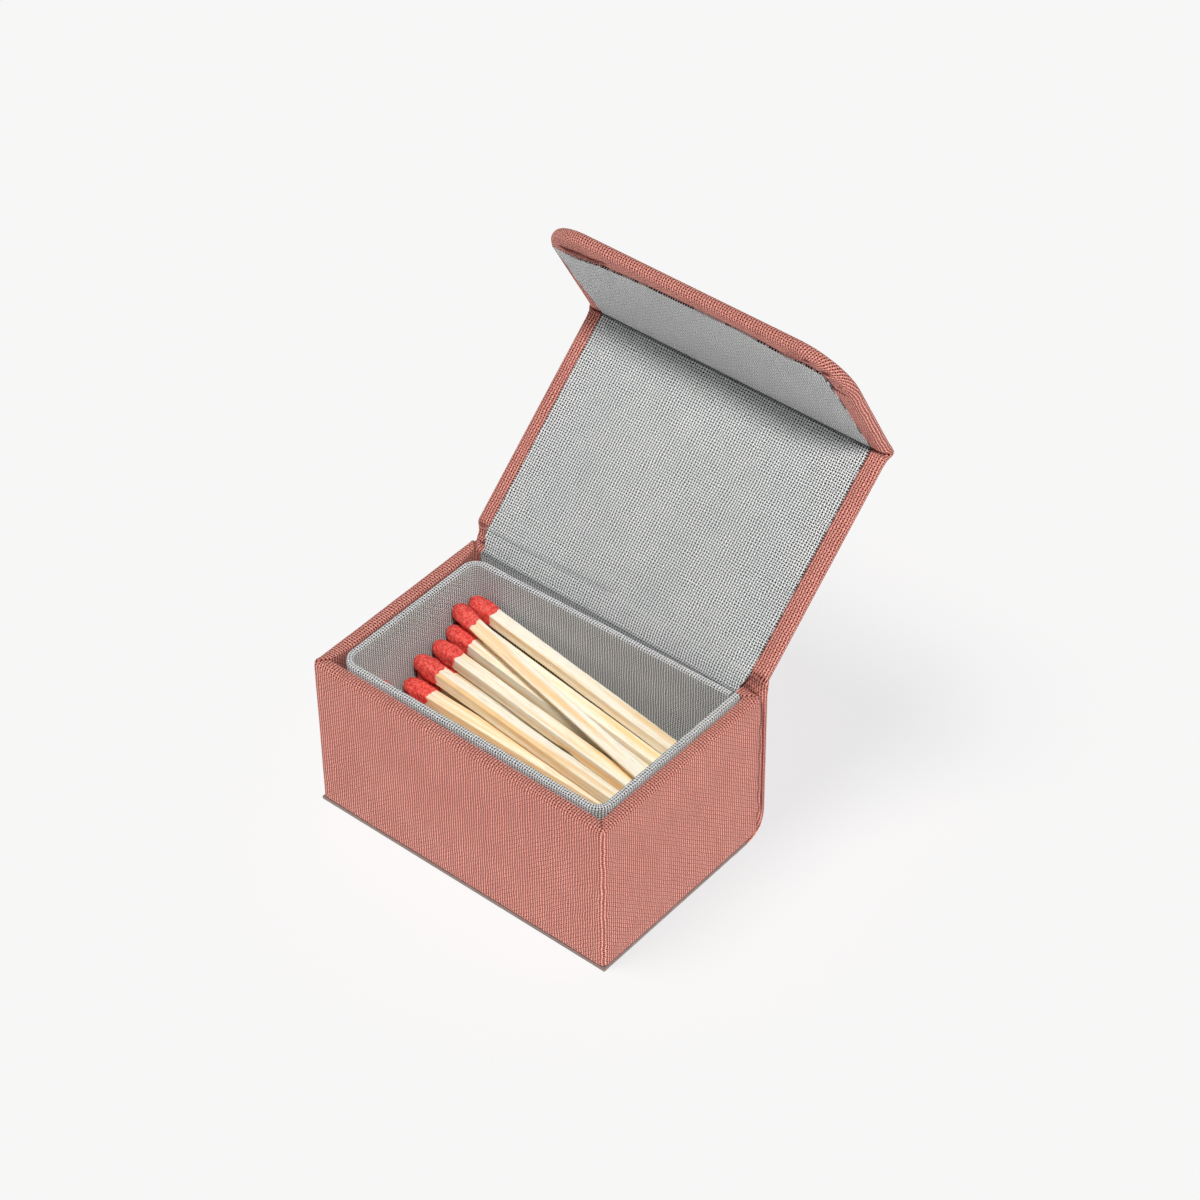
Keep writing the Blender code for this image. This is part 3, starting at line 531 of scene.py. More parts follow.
def tray_side(along, outward, half_along, half_across, start):
    """One wall's share of the cloth, from mitre to mitre, and how far round the box it ends."""
    straight = 2 * (half_along - UPRIGHT_EDGE)
    inner = np.linspace(NEAR_END[-1], straight - NEAR_END[-1], int(straight / STEP))
    far_end = straight - np.array(NEAR_END[-2::-1])
    shares = np.concatenate((NEAR_END[:-1], inner, far_end)) / straight
    grid = np.zeros((len(section), len(shares) + 6, 5))
    rise = path_length(section)
    reach = half_along - UPRIGHT_EDGE * (1 - math.sqrt(0.5))
    for row, (inset, height) in enumerate(section):
        radius = max(UPRIGHT_EDGE - inset, 0.0)
        end = half_along - inset - radius
        out = half_across - inset - radius
        plan = bend((-end, out), radius, 135, 90, 3)[:-1]
        plan += [(-end + 2 * end * share, out + radius) for share in shares]
        plan += bend((end, out), radius, 90, 45, 3)[1:]
        plan = np.array(plan)
        grid[row, :, :2] = plan[:, :1] * np.array(along) + plan[:, 1:] * np.array(outward)
        grid[row, :, 2] = height
        grid[row, :, 3] = start + plan[:, 0] + reach
        grid[row, :, 4] = rise[row]
    return grid, start + 2 * reach


# How the cloth lies at each corner of the rim: how deep the mitre's crease is, how far the cloth on its
# two sides stands up, where one end overlaps the other, and how dark the shade painted along the crease is.
MITRES = {
    (-1, -1): (0.00030, 0.00002, 0.00022, 0.85),
    (1, -1): (0.00018, 0.00010, 0.00005, 0.6),
    (1, 1): (0.00030, 0.00012, 0.00016, 0.9),
    (-1, 1): (0.00022, 0.00006, 0.00012, 0.7),
}


def lay_on_tray(place):
    """The tray's rounded lower back edge, the small unevenness of cloth glued down by hand, and the creases
    where the rim is mitred."""
    x, y, z = place
    out = Vector((y - BACK_ARC[0], z - BACK_ARC[1]))
    if out.x > 0 and out.y < 0 and out.length > TRAY_BACK_RADIUS:
        out *= TRAY_BACK_RADIUS / out.length
        y, z = BACK_ARC[0] + out.x, BACK_ARC[1] + out.y
    if x < -0.0280 and z > 0.026:
        inner = held((x + HALF_WIDTH - 0.0008) / (WALL - 0.0008))
        x += LEFT_BULGE * inner * held((HALF_DEPTH - 0.0028 - abs(y)) / 0.004) * swell(z - BULGE_HEIGHT, 0.0014)
    spot = Vector((x, y, z)) * 90.0
    x += UNEVEN * noise.noise(spot)
    y += UNEVEN * noise.noise(spot + Vector((40, 0, 0)))
    if z > RIM - 0.0012:
        z += RIM_UNEVEN * noise.noise(Vector((x, y, 3.0)) * 160.0)
        depth, one_side, other_side, _ = MITRES[(1 if x > 0 else -1), (1 if y > 0 else -1)]
        off = ((HALF_WIDTH - abs(x)) - (HALF_DEPTH - abs(y))) / math.sqrt(2)
        ridge = swell(abs(off) - MITRE_RIDGE[0], MITRE_RIDGE[1])
        z += ridge * (one_side if off > 0 else other_side) - swell(off, MITRE_WIDTH) * depth
    return (x, y, z)


SIDES = (
    ((1, 0), (0, -1), HALF_WIDTH, HALF_DEPTH),
    ((0, 1), (1, 0), HALF_DEPTH, HALF_WIDTH),
    ((-1, 0), (0, 1), HALF_WIDTH, HALF_DEPTH),
    ((0, -1), (-1, 0), HALF_DEPTH, HALF_WIDTH),
)
grids, start = [], 0.0
for side in SIDES:
    grid, start = tray_side(*side, start)
    for known in grid.reshape(-1, 5):
        known[:3] = lay_on_tray(known[:3])
    grids.append(grid)
tray_cloth = cloth_from_grids("tray_book_cloth", grids, PINK_CLOTH)
# Shade is painted along each mitre's crease, from the rim's outer edge to its inner one.
for (end_x, end_y), (*_, darkness) in MITRES.items():
    spots = [(HALF_WIDTH - inset, HALF_DEPTH - inset) for inset in (0.0003, WALL)]
    paint_crease_shade(tray_cloth, [(end_x * x, end_y * y, RIM - 0.0001) for x, y in spots], 0.00017, darkness)
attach(tray_cloth, "box")
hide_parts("tray_cloth")


# ----------------------------------------
# Striking sheet. Thin brown-grey gritty paper glued under the base, trimmed by hand a hair inside or
# outside the cloth, and ending where the cover's cloth comes round the back edge.

SHEET = 0.0006
SHEET_BACK = 0.01695
SHEET_WAVER = 0.0022
SHEET_STEPS = 70
# The sheet's edge from the underside up: its width against the outline's, and its height.
SHEET_EDGE = ((1.0, 0.0), (1.0012, 0.45 * SHEET), (1.0, SHEET))


def piece_from_builder(name, builder, finish):
    """An object from a mesh being built."""
    mesh = bpy.data.meshes.new(name)
    builder.to_mesh(mesh)
    builder.free()
    mesh.materials.append(finish)
    return new_object(name, mesh)


grit, tree, shader = new_finish("striking_sheet", 0.95, 0.3)
place = object_place(tree)
grains = add_node(tree, "ShaderNodeTexVoronoi", {"Vector": place, "Scale": 5200.0, "Randomness": 1.0})
clumps = noise_at(tree, place, 700.0, 5.0, Roughness=0.65)[0]
speckle = calc(tree, "MULTIPLY_ADD", grains.outputs["Distance"], 0.7, calc(tree, "MULTIPLY", clumps, 0.5))
coat(tree, shader, two_tone(tree, speckle, (0.14, 0.095, 0.085), (0.34, 0.25, 0.225)), speckle, 0.00008)

corners = [(x, y) for x, y in ((-1, -HALF_DEPTH), (1, -HALF_DEPTH), (1, SHEET_BACK), (-1, SHEET_BACK))]
outline = []
for (ax, ay), (bx, by) in zip(corners, corners[1:] + corners[:1]):
    for step in range(SHEET_STEPS):
        x = ax * HALF_WIDTH + (bx - ax) * HALF_WIDTH * step / SHEET_STEPS
        y = ay + (by - ay) * step / SHEET_STEPS
        rough = 1.0 - SHEET_WAVER * (0.5 + 0.5 * noise.noise(Vector((x, y, 0.0)) * 900.0))
        outline.append((x * rough, y * rough))
builder = bmesh.new()
rings = [[builder.verts.new((x * wide, y * wide, height)) for x, y in outline] for wide, height in SHEET_EDGE]
for under, over in zip(rings, rings[1:]):
    for index in range(len(outline)):
        after = (index + 1) % len(outline)
        builder.faces.new((under[index], under[after], over[after], over[index]))
builder.faces.new(rings[0][::-1])
builder.faces.new(rings[-1])
sheet = piece_from_builder("gritty_sheet", builder, grit)
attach(sheet, "box")
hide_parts("striking_sheet")


# ----------------------------------------
# Liner. A card strip covered in pale grey book cloth stands inside the walls, 0.9 mm proud of the rim,
# bent at three corners and butted at the back right. Its cloth goes 10 mm down outside.

LINER_WALL = 0.0012
LINER_TOP = 0.0326
LINER_BOTTOM = 0.0037
LINER_ROUND = 0.0030
LINER_CLOTH = 0.0003
LINER_TURNED = 0.010
LINER_EDGE_ROUND = 0.00032
LINER_UNEVEN = 0.00012
RIPPLE = 130.0
LINER_LINE = [
    (0.02865, 0.01715), (0.02865, -0.01775), (-0.02700, -0.01775), (-0.02700, 0.01545), (0.02725, 0.01711),
]

# Its gap colour is partly glue and partly painted shade, and the threads across get painted shade by a share.
GREY_CLOTH = book_cloth(
    "grey_book_cloth",
    pitches=(0.508, 0.472),
    gap=(0.012, 0.017, 0.022),
    dark=(0.76, 0.79, 0.80),
    light=(1.0, 1.0, 1.0),
    crosswise_shade=0.16,
    width=0.53,
    low=0.34,
    bloom=0.75,
)


def round_corners(corners, radius, steps):
    """A line with its inner corners rounded."""
    line = [corners[0]]
    for before, here, after in zip(corners, corners[1:], corners[2:]):
        here = Vector(here)
        back = (Vector(before) - here).normalized()
        forward = (Vector(after) - here).normalized()
        half = back.angle(forward) / 2
        centre = here + (back + forward).normalized() * (radius / math.sin(half))
        leave, arrive = (here + way * (radius / math.tan(half)) - centre for way in (back, forward))
        turned = math.remainder(arrive.angle_signed(leave), 2 * math.pi)
        start = math.degrees(math.atan2(leave.y, leave.x))
        line += bend(centre, radius, start, start + math.degrees(turned), steps)
    return line + [corners[-1]]


def even_steps(line, step):
    """More points along a line's long straight parts."""
    points = [line[0]]
    for here, after in zip(line, line[1:]):
        count = max(1, round(math.dist(here, after) / step))
        points += [tuple(np.array(here) + (np.array(after) - here) * k / count) for k in range(1, count + 1)]
    return points


def poly_curve(name, points):
    """A curve object of straight pieces, flat in its own plane."""
    data = bpy.data.curves.new(name, "CURVE")
    data.dimensions = "3D"
    spline = data.splines.new("POLY")
    spline.points.add(len(points) - 1)
    for point, place in zip(spline.points, points):
        point.co = (*place, 0.0, 1.0)
    return new_object(name, data)


def stored(tree, geometry, name, value, data_type, domain):
    """Geometry with a named attribute stored on it."""
    inputs = {"Geometry": geometry, "Name": name, "Value": value}
    settings = {"data_type": data_type, "domain": domain}
    return add_node(tree, "GeometryNodeStoreNamedAttribute", inputs, **settings).outputs[0]


def set_finish(tree, geometry, given, made):
    """Ends a geometry-node tree by giving what it made its finish."""
    inputs = {"Geometry": geometry, "Material": given["Finish"]}
    tree.links.new(add_node(tree, "GeometryNodeSetMaterial", inputs).outputs[0], made["Geometry"])


def strip_on_edge():
    """Geometry nodes: a thin strip stood on edge along a path, its section swept along it, with its
    threads running along the path and a slight unevenness."""
    inputs = {"Path": "Geometry", "Section": "Object", "Unevenness": "Float"}
    inputs |= {"Seed": "Int", "Finish": "Material"}
    tree, given, made = new_group("strip_on_edge", "GeometryNodeTree", inputs, {"Geometry": "Geometry"})
    length = add_node(tree, "GeometryNodeSplineParameter").outputs["Length"]
    section = add_node(tree, "GeometryNodeObjectInfo", {"Object": given["Section"]}).outputs["Geometry"]
    captured, lengths = [], []
    for source in (given["Path"], section):
        capture = add_node(tree, "GeometryNodeCaptureAttribute", domain="POINT")
        capture.capture_items.new("FLOAT", "length")
        tree.links.new(source, capture.inputs[0])
        tree.links.new(length, capture.inputs[1])
        captured.append(capture.outputs[0])
        lengths.append(calc(tree, "MULTIPLY", capture.outputs[1], TO_MM))
    upright = add_node(tree, "GeometryNodeSetCurveNormal", {"Curve": captured[0]}, mode="Z_UP").outputs[0]
    sweep = {"Curve": upright, "Profile Curve": captured[1], "Fill Caps": True}
    swept = add_node(tree, "GeometryNodeCurveToMesh", sweep).outputs[0]
    place = add_node(tree, "GeometryNodeInputPosition").outputs[0]
    spot = vector_calc(tree, "SCALE", {0: place, "Scale": RIPPLE})
    ripple = noise_at(tree, spot, 1.0, 2.0, "4D", W=given["Seed"])["Color"]
    moved = {"Geometry": swept, "Offset": shaken(tree, ripple, given["Unevenness"])}
    uneven = add_node(tree, "GeometryNodeSetPosition", moved).outputs[0]
    mapped = stored(tree, uneven, "UVMap", joined(tree, *lengths), "FLOAT2", "CORNER")
    set_finish(tree, add_node(tree, "GeometryNodeRealizeInstances", {0: mapped}).outputs[0], given, made)
    return tree


def grow(name, source, tree, values):
    """The finished piece that a geometry-node tree makes from an object, with its inputs set by name."""
    step = source.modifiers.new(tree.name, "NODES")
    step.node_group = tree
    for item in tree.interface.items_tree:
        if item.in_out == "INPUT" and item.name in values:
            step[item.identifier] = values[item.name]
    mesh = final_mesh(source)
    source.modifiers.remove(step)
    bpy.data.objects.remove(source)
    mesh.name = name
    smooth(mesh, 40)
    return new_object(name, mesh)


edge = LINER_EDGE_ROUND
skin = [(0.0, LINER_TOP - down) for down in (LINER_TURNED, 0.006, 0.003)]
skin += bend((edge, LINER_TOP - edge), edge, 180, 90, 5)
skin += bend((LINER_WALL - edge, LINER_TOP - edge), edge, 90, 0, 5)
skin += [(LINER_WALL, height) for height in np.linspace(LINER_TOP - 0.002, LINER_BOTTOM, 12)]
skin += [(LINER_WALL - LINER_CLOTH, LINER_BOTTOM), (LINER_WALL - LINER_CLOTH, LINER_TOP - LINER_CLOTH)]
skin += [(LINER_CLOTH, LINER_TOP - LINER_CLOTH), (LINER_CLOTH, LINER_TOP - LINER_TURNED)]
path = poly_curve("liner_line", even_steps(round_corners(LINER_LINE, LINER_ROUND, 7), STEP))
profile = poly_curve("liner_section", [(inset, -height) for inset, height in skin])
profile.data.splines[0].use_cyclic_u = True
sizes = {"Section": profile, "Unevenness": LINER_UNEVEN, "Seed": 4, "Finish": GREY_CLOTH}
liner = grow("liner_book_cloth", path, strip_on_edge(), sizes)
bpy.data.objects.remove(profile)
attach(liner, "box")
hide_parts("liner_cloth")


# ----------------------------------------
# Tray floor. A card covered in the same grey cloth, dropped in before the liner, which holds it down. It
# waves a little, and shows only past the ends of the matches.

FLOOR_TOP = 0.0036
FLOOR_HALF = (0.02845, 0.01755)
FLOOR_WAVE = 0.00004

xs, ys = (np.linspace(-half, half, count) for half, count in zip(FLOOR_HALF, (48, 30)))
grid = np.array([[(x, y, noise.noise(Vector((x, y, 0.0)) * 120.0), x, y) for x in xs] for y in ys])
grid[:, :, 2] = FLOOR_TOP - FLOOR_WAVE * (1 + grid[:, :, 2])
floor_cloth = cloth_from_grids("floor_book_cloth", [grid], GREY_CLOTH, 0.00025)
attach(floor_cloth, "box")
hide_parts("floor_cloth")


# ----------------------------------------
# Matches. Square sticks split and sawn from pale wood, 48 mm long, with a rough dipped head of red
# striking paste. The ones that show lie loose on top, each at its own slant.

STICK = 0.0024
STICK_EDGE = 0.00013
STICK_SWAY = 0.00006
MATCH_LENGTH = 0.0479
HEAD_LENGTH = 0.0056
HEAD_WIDTH = 0.0033
HEAD_RAGGED = 0.00055
HEAD_OVERLAP = 0.0012
HEAD_PITCH = 0.0034
STICK_PITCH = 0.0025
TIP_X = -0.0253
FRONT = -0.01655
LOWEST_HEAD = FLOOR_TOP + 0.00175
LOWEST_TAIL = FLOOR_TOP + 0.0013
PACKED_ROWS = 4
# The head's shape from its tip: how far along it and how full it is, as shares.
HEAD_SHAPE = np.array([
    (0.0, 0.16), (0.015, 0.34), (0.06, 0.56), (0.13, 0.76), (0.24, 0.93), (0.36, 1.0), (0.48, 1.0),
    (0.60, 0.96), (0.70, 0.91), (0.79, 0.87), (0.87, 0.84), (0.94, 0.825), (1.0, 0.81),
])
# Row by row upwards, each from the front: its number, and how far behind the liner's front face the
# middles of its head and tail lie.
LOOSE_ROWS = [
    [
        (10, 0.0043, 0.0043), (11, 0.0079, 0.0079), (6, 0.0122, 0.0139), (8, 0.0157, 0.0167),
        (12, 0.0193, 0.0194), (13, 0.0228, 0.0228), (14, 0.0263, 0.0263),
    ],
    [
        (15, 0.0018, 0.0018), (16, 0.0052, 0.0052), (5, 0.0150, 0.0139), (4, 0.0197, 0.0178),
        (3, 0.0235, 0.0214), (9, 0.0270, 0.0246),
    ],
    [(7, 0.0034, 0.0040), (1, 0.0254, 0.0187), (2, 0.0290, 0.0268)],
]
# How far back the first and last of a row can lie.
ROOM = (0.00175, 0.02905)
# Those out of their row: towards the left, head up, tail up, and rolled by an angle in degrees.
OUT_OF_ROW = {1: (0.0003, 0.0007, 0.0004, 28), 3: (0.0003, 0.0005, 0.0, 0), 7: (0.0002, -0.0003, 0.0, 0)}
# The one with a splinter torn off: where along it, how long to either side, and on which side.
TORN = {4: (0.031, 0.0022, -1.0)}


def grain(tree, uv, along, around, detail, seed):
    """Streaks that run along the stick."""
    spread = {"Vector": uv, "Location": (seed, seed * 0.7, 0.0), "Scale": (along, around, 1.0)}
    return noise_at(tree, add_node(tree, "ShaderNodeMapping", spread).outputs[0], 1.0, detail, "2D")[0]


wood, tree, shader = new_finish("match_wood", 0.62, 0.3)
uv = uv_place(tree)
broad = grain(tree, uv, 0.02, 0.55, 3.0, 11.0)
fine = grain(tree, uv, 0.06, 2.6, 4.0, 3.0)
pores = grain(tree, uv, 0.22, 5.0, 2.0, 29.0)
tone = stretched(tree, fine, 1.1, stretched(tree, broad, 4.6, 0.30))
pale = two_tone(tree, tone, (1.0, 0.93, 0.785), (0.95, 0.67, 0.36))
streaked = two_tone(tree, ranged(tree, pores, 0.60, 0.78, 0.55), pale, (0.72, 0.46, 0.22))
coat(tree, shader, streaked, calc(tree, "MULTIPLY_ADD", fine, 0.6, pores), 0.00008)
for name, value in (("Weight", 0.35), ("Radius", (1.0, 0.6, 0.3)), ("Scale", 0.0012)):
    shader.inputs["Subsurface " + name].default_value = value

red_paste, tree, shader = new_finish("match_head_red", 0.66, 0.35)
uv = uv_place(tree)
coarse, gritty = (noise_at(tree, uv, scale, 4.0, "2D")[0] for scale in (1.5, 3.0))
spots = {"Vector": uv, "Scale": 1.7, "Randomness": 1.0}
spots = add_node(tree, "ShaderNodeTexVoronoi", spots, voronoi_dimensions="2D").outputs["Distance"]
tone = stretched(tree, gritty, 1.8, stretched(tree, coarse, 2.4, 0.5))
reds = two_tone(tree, tone, (0.66, 0.034, 0.030), (0.94, 0.135, 0.105))
flecked = two_tone(tree, ranged(tree, spots, 0.17, 0.07, 0.45), reds, (0.86, 0.45, 0.36))
coat(tree, shader, flecked, calc(tree, "MULTIPLY_ADD", gritty, 0.5, coarse), 0.00018)


def wrap_rings(rings, uvs):
    """A closed skin over rings of points, with their places on the surface in millimetres."""
    builder = bmesh.new()
    layer = builder.loops.layers.uv.new("UVMap")
    made = [[builder.verts.new(point) for point in ring] for ring in rings]
    count = len(made[0])
    for row in range(len(made) - 1):
        for side in range(count):
            corners = ((row, side), (row, side + 1), (row + 1, side + 1), (row + 1, side))
            face = builder.faces.new([made[r][s % count] for r, s in corners])
            for loop, (r, s) in zip(face.loops, corners):
                loop[layer].uv = uvs[r][s]
    for ring, uv in ((made[0][::-1], uvs[0]), (made[-1], uvs[-1])):
        face = builder.faces.new(ring)
        for loop, vert in zip(face.loops, ring):
            loop[layer].uv = (uv[0][0] + vert.co.y * 350.0, uv[0][1] + vert.co.z * 900.0)
    bmesh.ops.recalc_face_normals(builder, faces=builder.faces)
    return builder


def stick_builder(seed, steps=36, notch=None):
    """A split stick along +X from behind its head: worn edges, wavy faces and, on one, a torn splinter."""
    half = STICK / 2
    flats = [-half + STICK_EDGE, -half * 0.35, half * 0.35, half - STICK_EDGE]
    around = [(half, v) for v in flats] + [(-v, half) for v in flats]
    around += [(-half, -v) for v in flats] + [(v, -half) for v in flats]
    girth = path_length(around + around[:1]) * TO_MM
    shift = Vector((seed * 13.7, seed * 5.1, seed * 3.3))
    rings, uvs = [], []
    for x in np.linspace(HEAD_LENGTH - HEAD_OVERLAP, MATCH_LENGTH, steps):
        sway = STICK_SWAY * noise.noise(Vector((x * 45.0, 0.0, 0.0)) + shift)
        ring = []
        for y, z in around:
            spot = Vector((x * 90.0, y * 500.0, z * 500.0)) + shift
            pull = 1.0 + 0.045 * noise.noise(spot) - 0.03 * abs(noise.noise(spot * 2.3))
            if notch and abs(x - notch[0]) < notch[1] and z < -half * 0.5 and y * notch[2] > half * 0.3:
                pull -= 0.16 * (1 - abs(x - notch[0]) / notch[1])
            ring.append((x, y * pull + sway, z * pull))
        rings.append(ring)
        uvs.append([(x * TO_MM + seed * 61.0, g + seed * 17.0) for g in girth])
    return wrap_rings(rings, uvs)


def head_builder(seed, sides=34):
    """A dipped head along +X from its tip: lumpy, fullest before its middle, and closing on the stick in an
    uneven line."""
    shift = Vector((seed * 7.7, seed * 2.9, seed * 4.1))
    rings, uvs = [], []
    known = np.linspace(0.0, 1.0, len(HEAD_SHAPE))
    for step in np.linspace(0.0, 1.0, 25):
        along, share = (np.interp(step, known, HEAD_SHAPE[:, i]) for i in (0, 1))
        squareness = held((along - 0.45) / 0.45)
        power = 2.0 + 6.0 * squareness
        ring = []
        for side in range(sides):
            angle = 2 * math.pi * side / sides
            y, z = math.cos(angle), math.sin(angle)
            reach = HEAD_WIDTH / 2 * share / (abs(y) ** power + abs(z) ** power) ** (1.0 / power)
            spot = Vector((along * 3.0, y, z)) * 1.5 + shift
            lump = noise.noise(spot) * 0.07 + noise.noise(spot * 3.1) * 0.045 + noise.noise(spot * 7.3) * 0.035
            reach *= 1 + lump * (1 - 0.75 * squareness)
            ragged = noise.noise(Vector((y, z, 9.0)) * 1.3 + shift)
            ragged += 0.45 * noise.noise(Vector((y, z, 4.0)) * 4.0 + shift)
            x = along * HEAD_LENGTH + HEAD_RAGGED * ragged * max(0.0, (along - 0.6) / 0.4)
            ring.append((x, y * reach, z * reach))
        rings.append(ring)
        around = [side / sides * 9.0 * share + seed * 23.0 for side in range(sides + 1)]
        uvs.append([(u, along * 5.6 + seed * 31.0) for u in around])
    rings.append([(x + 0.00008, y * 0.88, z * 0.88) for x, y, z in rings[-1]])
    uvs.append([(u, v + 0.3) for u, v in uvs[-1]])
    return wrap_rings(rings, uvs)


def spread(places, pitch):
    """Places across the liner, in rising order, kept inside it and at least a pitch apart."""
    kept = []
    for place in places:
        kept.append(max(place, kept[-1] + pitch if kept else ROOM[0]))
    for index in reversed(range(len(kept))):
        kept[index] = min(kept[index], ROOM[1] if index == len(kept) - 1 else kept[index + 1] - pitch)
    return kept


for above, row in enumerate(LOOSE_ROWS, PACKED_ROWS):
    numbers, heads, tails = zip(*row)
    for number, head_y, tail_y in zip(numbers, spread(heads, HEAD_PITCH), spread(tails, STICK_PITCH)):
        leftwards, head_up, tail_up, roll = OUT_OF_ROW.get(number, (0.0, 0.0, 0.0, 0))
        tip = Vector((TIP_X - leftwards, FRONT + head_y, LOWEST_HEAD + above * HEAD_PITCH + head_up))
        tail = Vector((tip.x + MATCH_LENGTH, FRONT + tail_y, LOWEST_TAIL + above * STICK_PITCH + tail_up))
        along = (tail - tip).normalized()
        across = Vector((0.0, 0.0, 1.0)).cross(along).normalized()
        turned = Matrix((along, across, along.cross(across))).transposed().to_4x4()
        laid = Matrix.Translation(tip) @ turned @ Matrix.Rotation(math.radians(roll), 4, "X")
        for name, builder, finish, angle, node, slot in (
            ("wood", stick_builder(number, notch=TORN.get(number)), wood, 30, "stick", "match_wood"),
            ("paste", head_builder(number), red_paste, 60, "head", "match_head"),
        ):
            bmesh.ops.transform(builder, matrix=laid, verts=builder.verts)
            piece = piece_from_builder(f"match_{number}_{name}", builder, finish)
            smooth(piece.data, angle)
            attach(piece, "box")
            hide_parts(f"match_{number}_{node}")


# ----------------------------------------
# Lower matches. Four full rows of nine, packed close under the loose ones and carrying them. Geometry
# nodes lay one stick and one head along the rows, each a little turned and shifted.

ROW_COUNT = 9
FIRST_Y, LAST_Y = -0.0148, 0.0125
ROW_SIZES = {
    "First place": FIRST_Y, "Place pitch": (LAST_Y - FIRST_Y) / (ROW_COUNT - 1), "Tip": TIP_X + 0.0001,
    "Lowest head": LOWEST_HEAD, "Head pitch": HEAD_PITCH, "Lowest tail": LOWEST_TAIL,
    "Tail pitch": STICK_PITCH, "Length": MATCH_LENGTH, "Shift": 0.00012,
}
OWN_GRAIN = 900.0
# These are hidden, so their sticks have fewer rings and their heads fewer sides.
PACKED_DETAIL = (9, 14)


def packed_rows():
    """Geometry nodes: one object repeated in rows, those higher up sloping more from head to tail, each
    rolled by some quarter turns and given its own stretch of grain."""
    inputs = {"Match": "Geometry", "Rows": "Int", "Per row": "Int", "Seed": "Int", "Finish": "Material"}
    inputs |= dict.fromkeys(ROW_SIZES, "Float")
    tree, given, made = new_group("packed_rows", "GeometryNodeTree", inputs, {"Geometry": "Geometry"})
    index = add_node(tree, "GeometryNodeInputIndex").outputs[0]
    row = calc(tree, "FLOOR", calc(tree, "DIVIDE", calc(tree, "ADD", index, 0.5), given["Per row"]))
    place = calc(tree, "SUBTRACT", index, calc(tree, "MULTIPLY", row, given["Per row"]))

    def chance(low, high, number):
        drawn = {2: low, 3: high, "Seed": calc(tree, "ADD", given["Seed"], number)}
        return add_node(tree, "FunctionNodeRandomValue", drawn, data_type="FLOAT").outputs[1]

    head_z = calc(tree, "MULTIPLY_ADD", row, given["Head pitch"], given["Lowest head"])
    tail_z = calc(tree, "MULTIPLY_ADD", row, given["Tail pitch"], given["Lowest tail"])
    x = calc(tree, "MULTIPLY_ADD", chance(-1.0, 1.0, 1), given["Shift"], given["Tip"])
    y = calc(tree, "MULTIPLY_ADD", place, given["Place pitch"], given["First place"])
    count = calc(tree, "MULTIPLY", given["Rows"], given["Per row"])
    places = {"Count": count, "Position": joined(tree, x, y, head_z)}
    points = add_node(tree, "GeometryNodePoints", places).outputs[0]
    slope = calc(tree, "ARCSINE", calc(tree, "DIVIDE", calc(tree, "SUBTRACT", head_z, tail_z), given["Length"]))
    quarter = calc(tree, "MULTIPLY", calc(tree, "ROUND", chance(0.0, 3.0, 2)), math.pi / 2)
    laid = {"Points": points, "Instance": given["Match"], "Rotation": joined(tree, quarter, slope)}
    laid = add_node(tree, "GeometryNodeInstanceOnPoints", laid).outputs[0]
    own = joined(tree, chance(0.0, OWN_GRAIN, 3), chance(0.0, OWN_GRAIN, 4))
    marked = stored(tree, laid, "own_grain", own, "FLOAT_VECTOR", "INSTANCE")
    real = add_node(tree, "GeometryNodeRealizeInstances", {0: marked}).outputs[0]
    moved = {}
    for side, name in enumerate(("UVMap", "own_grain")):
        named = add_node(tree, "GeometryNodeInputNamedAttribute", {"Name": name}, data_type="FLOAT_VECTOR")
        moved[side] = named.outputs[0]
    moved = vector_calc(tree, "ADD", moved)
    set_finish(tree, stored(tree, real, "UVMap", moved, "FLOAT2", "CORNER"), given, made)
    return tree


PACKED = packed_rows()
for name, builder, finish, node, slot in (
    ("lower_matches_wood", stick_builder(40, PACKED_DETAIL[0]), wood, "lower_match_sticks", "match_wood"),
    ("lower_matches_paste", head_builder(41, PACKED_DETAIL[1]), red_paste, "lower_match_heads", "match_head"),
):
    one = piece_from_builder("one_match", builder, finish)
    smooth(one.data, 40)
    sizes = {**ROW_SIZES, "Rows": PACKED_ROWS, "Per row": ROW_COUNT, "Seed": 7, "Finish": finish}
    piece = grow(name, one, PACKED, sizes)
    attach(piece, "box")
    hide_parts(node)


# ----------------------------------------
# Cover cloth. One length of the pink cloth runs from under the back edge up the rear panel, over the
# hinge, round the lid and the fold to the flap's rounded end, and is turned in over the boards' edges.
# It is made in two pieces that meet halfway up the lid, one going round the hinge and one round the fold.

MM = 0.001
LID_AXIS = Vector((0.02071, 0.033749))
LID_ANGLE = math.radians(42.07)
LID_INNER = 0.000849
LID_MIDDLE = 0.0210
LID_FOLD = 0.04145
FLAP_ANGLE = math.radians(118.28)
FLAP_LENGTH = 0.0287
FLAP_CORNER = 0.0095
FOLD_ROUND = 0.0008
FOLD_BULGE = 0.00065
FOLD_REACH = 0.0011
COVER = 0.0021
EDGE_ROUND = 0.00095
MARGIN = 0.00293
MOST_MARGIN = 0.0092
TUCK = 0.00042
BACK_RADIUS = 0.0048
BACK_INSIDE = 0.00438
PANEL_INSIDE = 0.02014
PANEL_OUTSIDE = 0.02185
PANEL_MARGIN = 0.0013
HINGE_MARGIN = 0.0038
INNER_X = HALF_WIDTH - FLAP_CORNER
MIDDLE_COLUMNS = 87
CORNER_COLUMNS = 37
# The cloth over the hinge, from the panel's top to the lid: points of its inner and its outer face.
HINGE_BEND = (
    ((0.02030, 0.03090), (0.02184, 0.03100)),
    ((0.02060, 0.03135), (0.02184, 0.03150)),
    ((0.02098, 0.03170), (0.02183, 0.03200)),
    ((0.02112, 0.03220), (0.02182, 0.03240)),
    ((0.02112, 0.03268), (0.02184, 0.03275)),
    ((0.02108, 0.03318), (0.02190, 0.03302)),
    ((0.02098, 0.03370), (0.02199, 0.03321)),
)
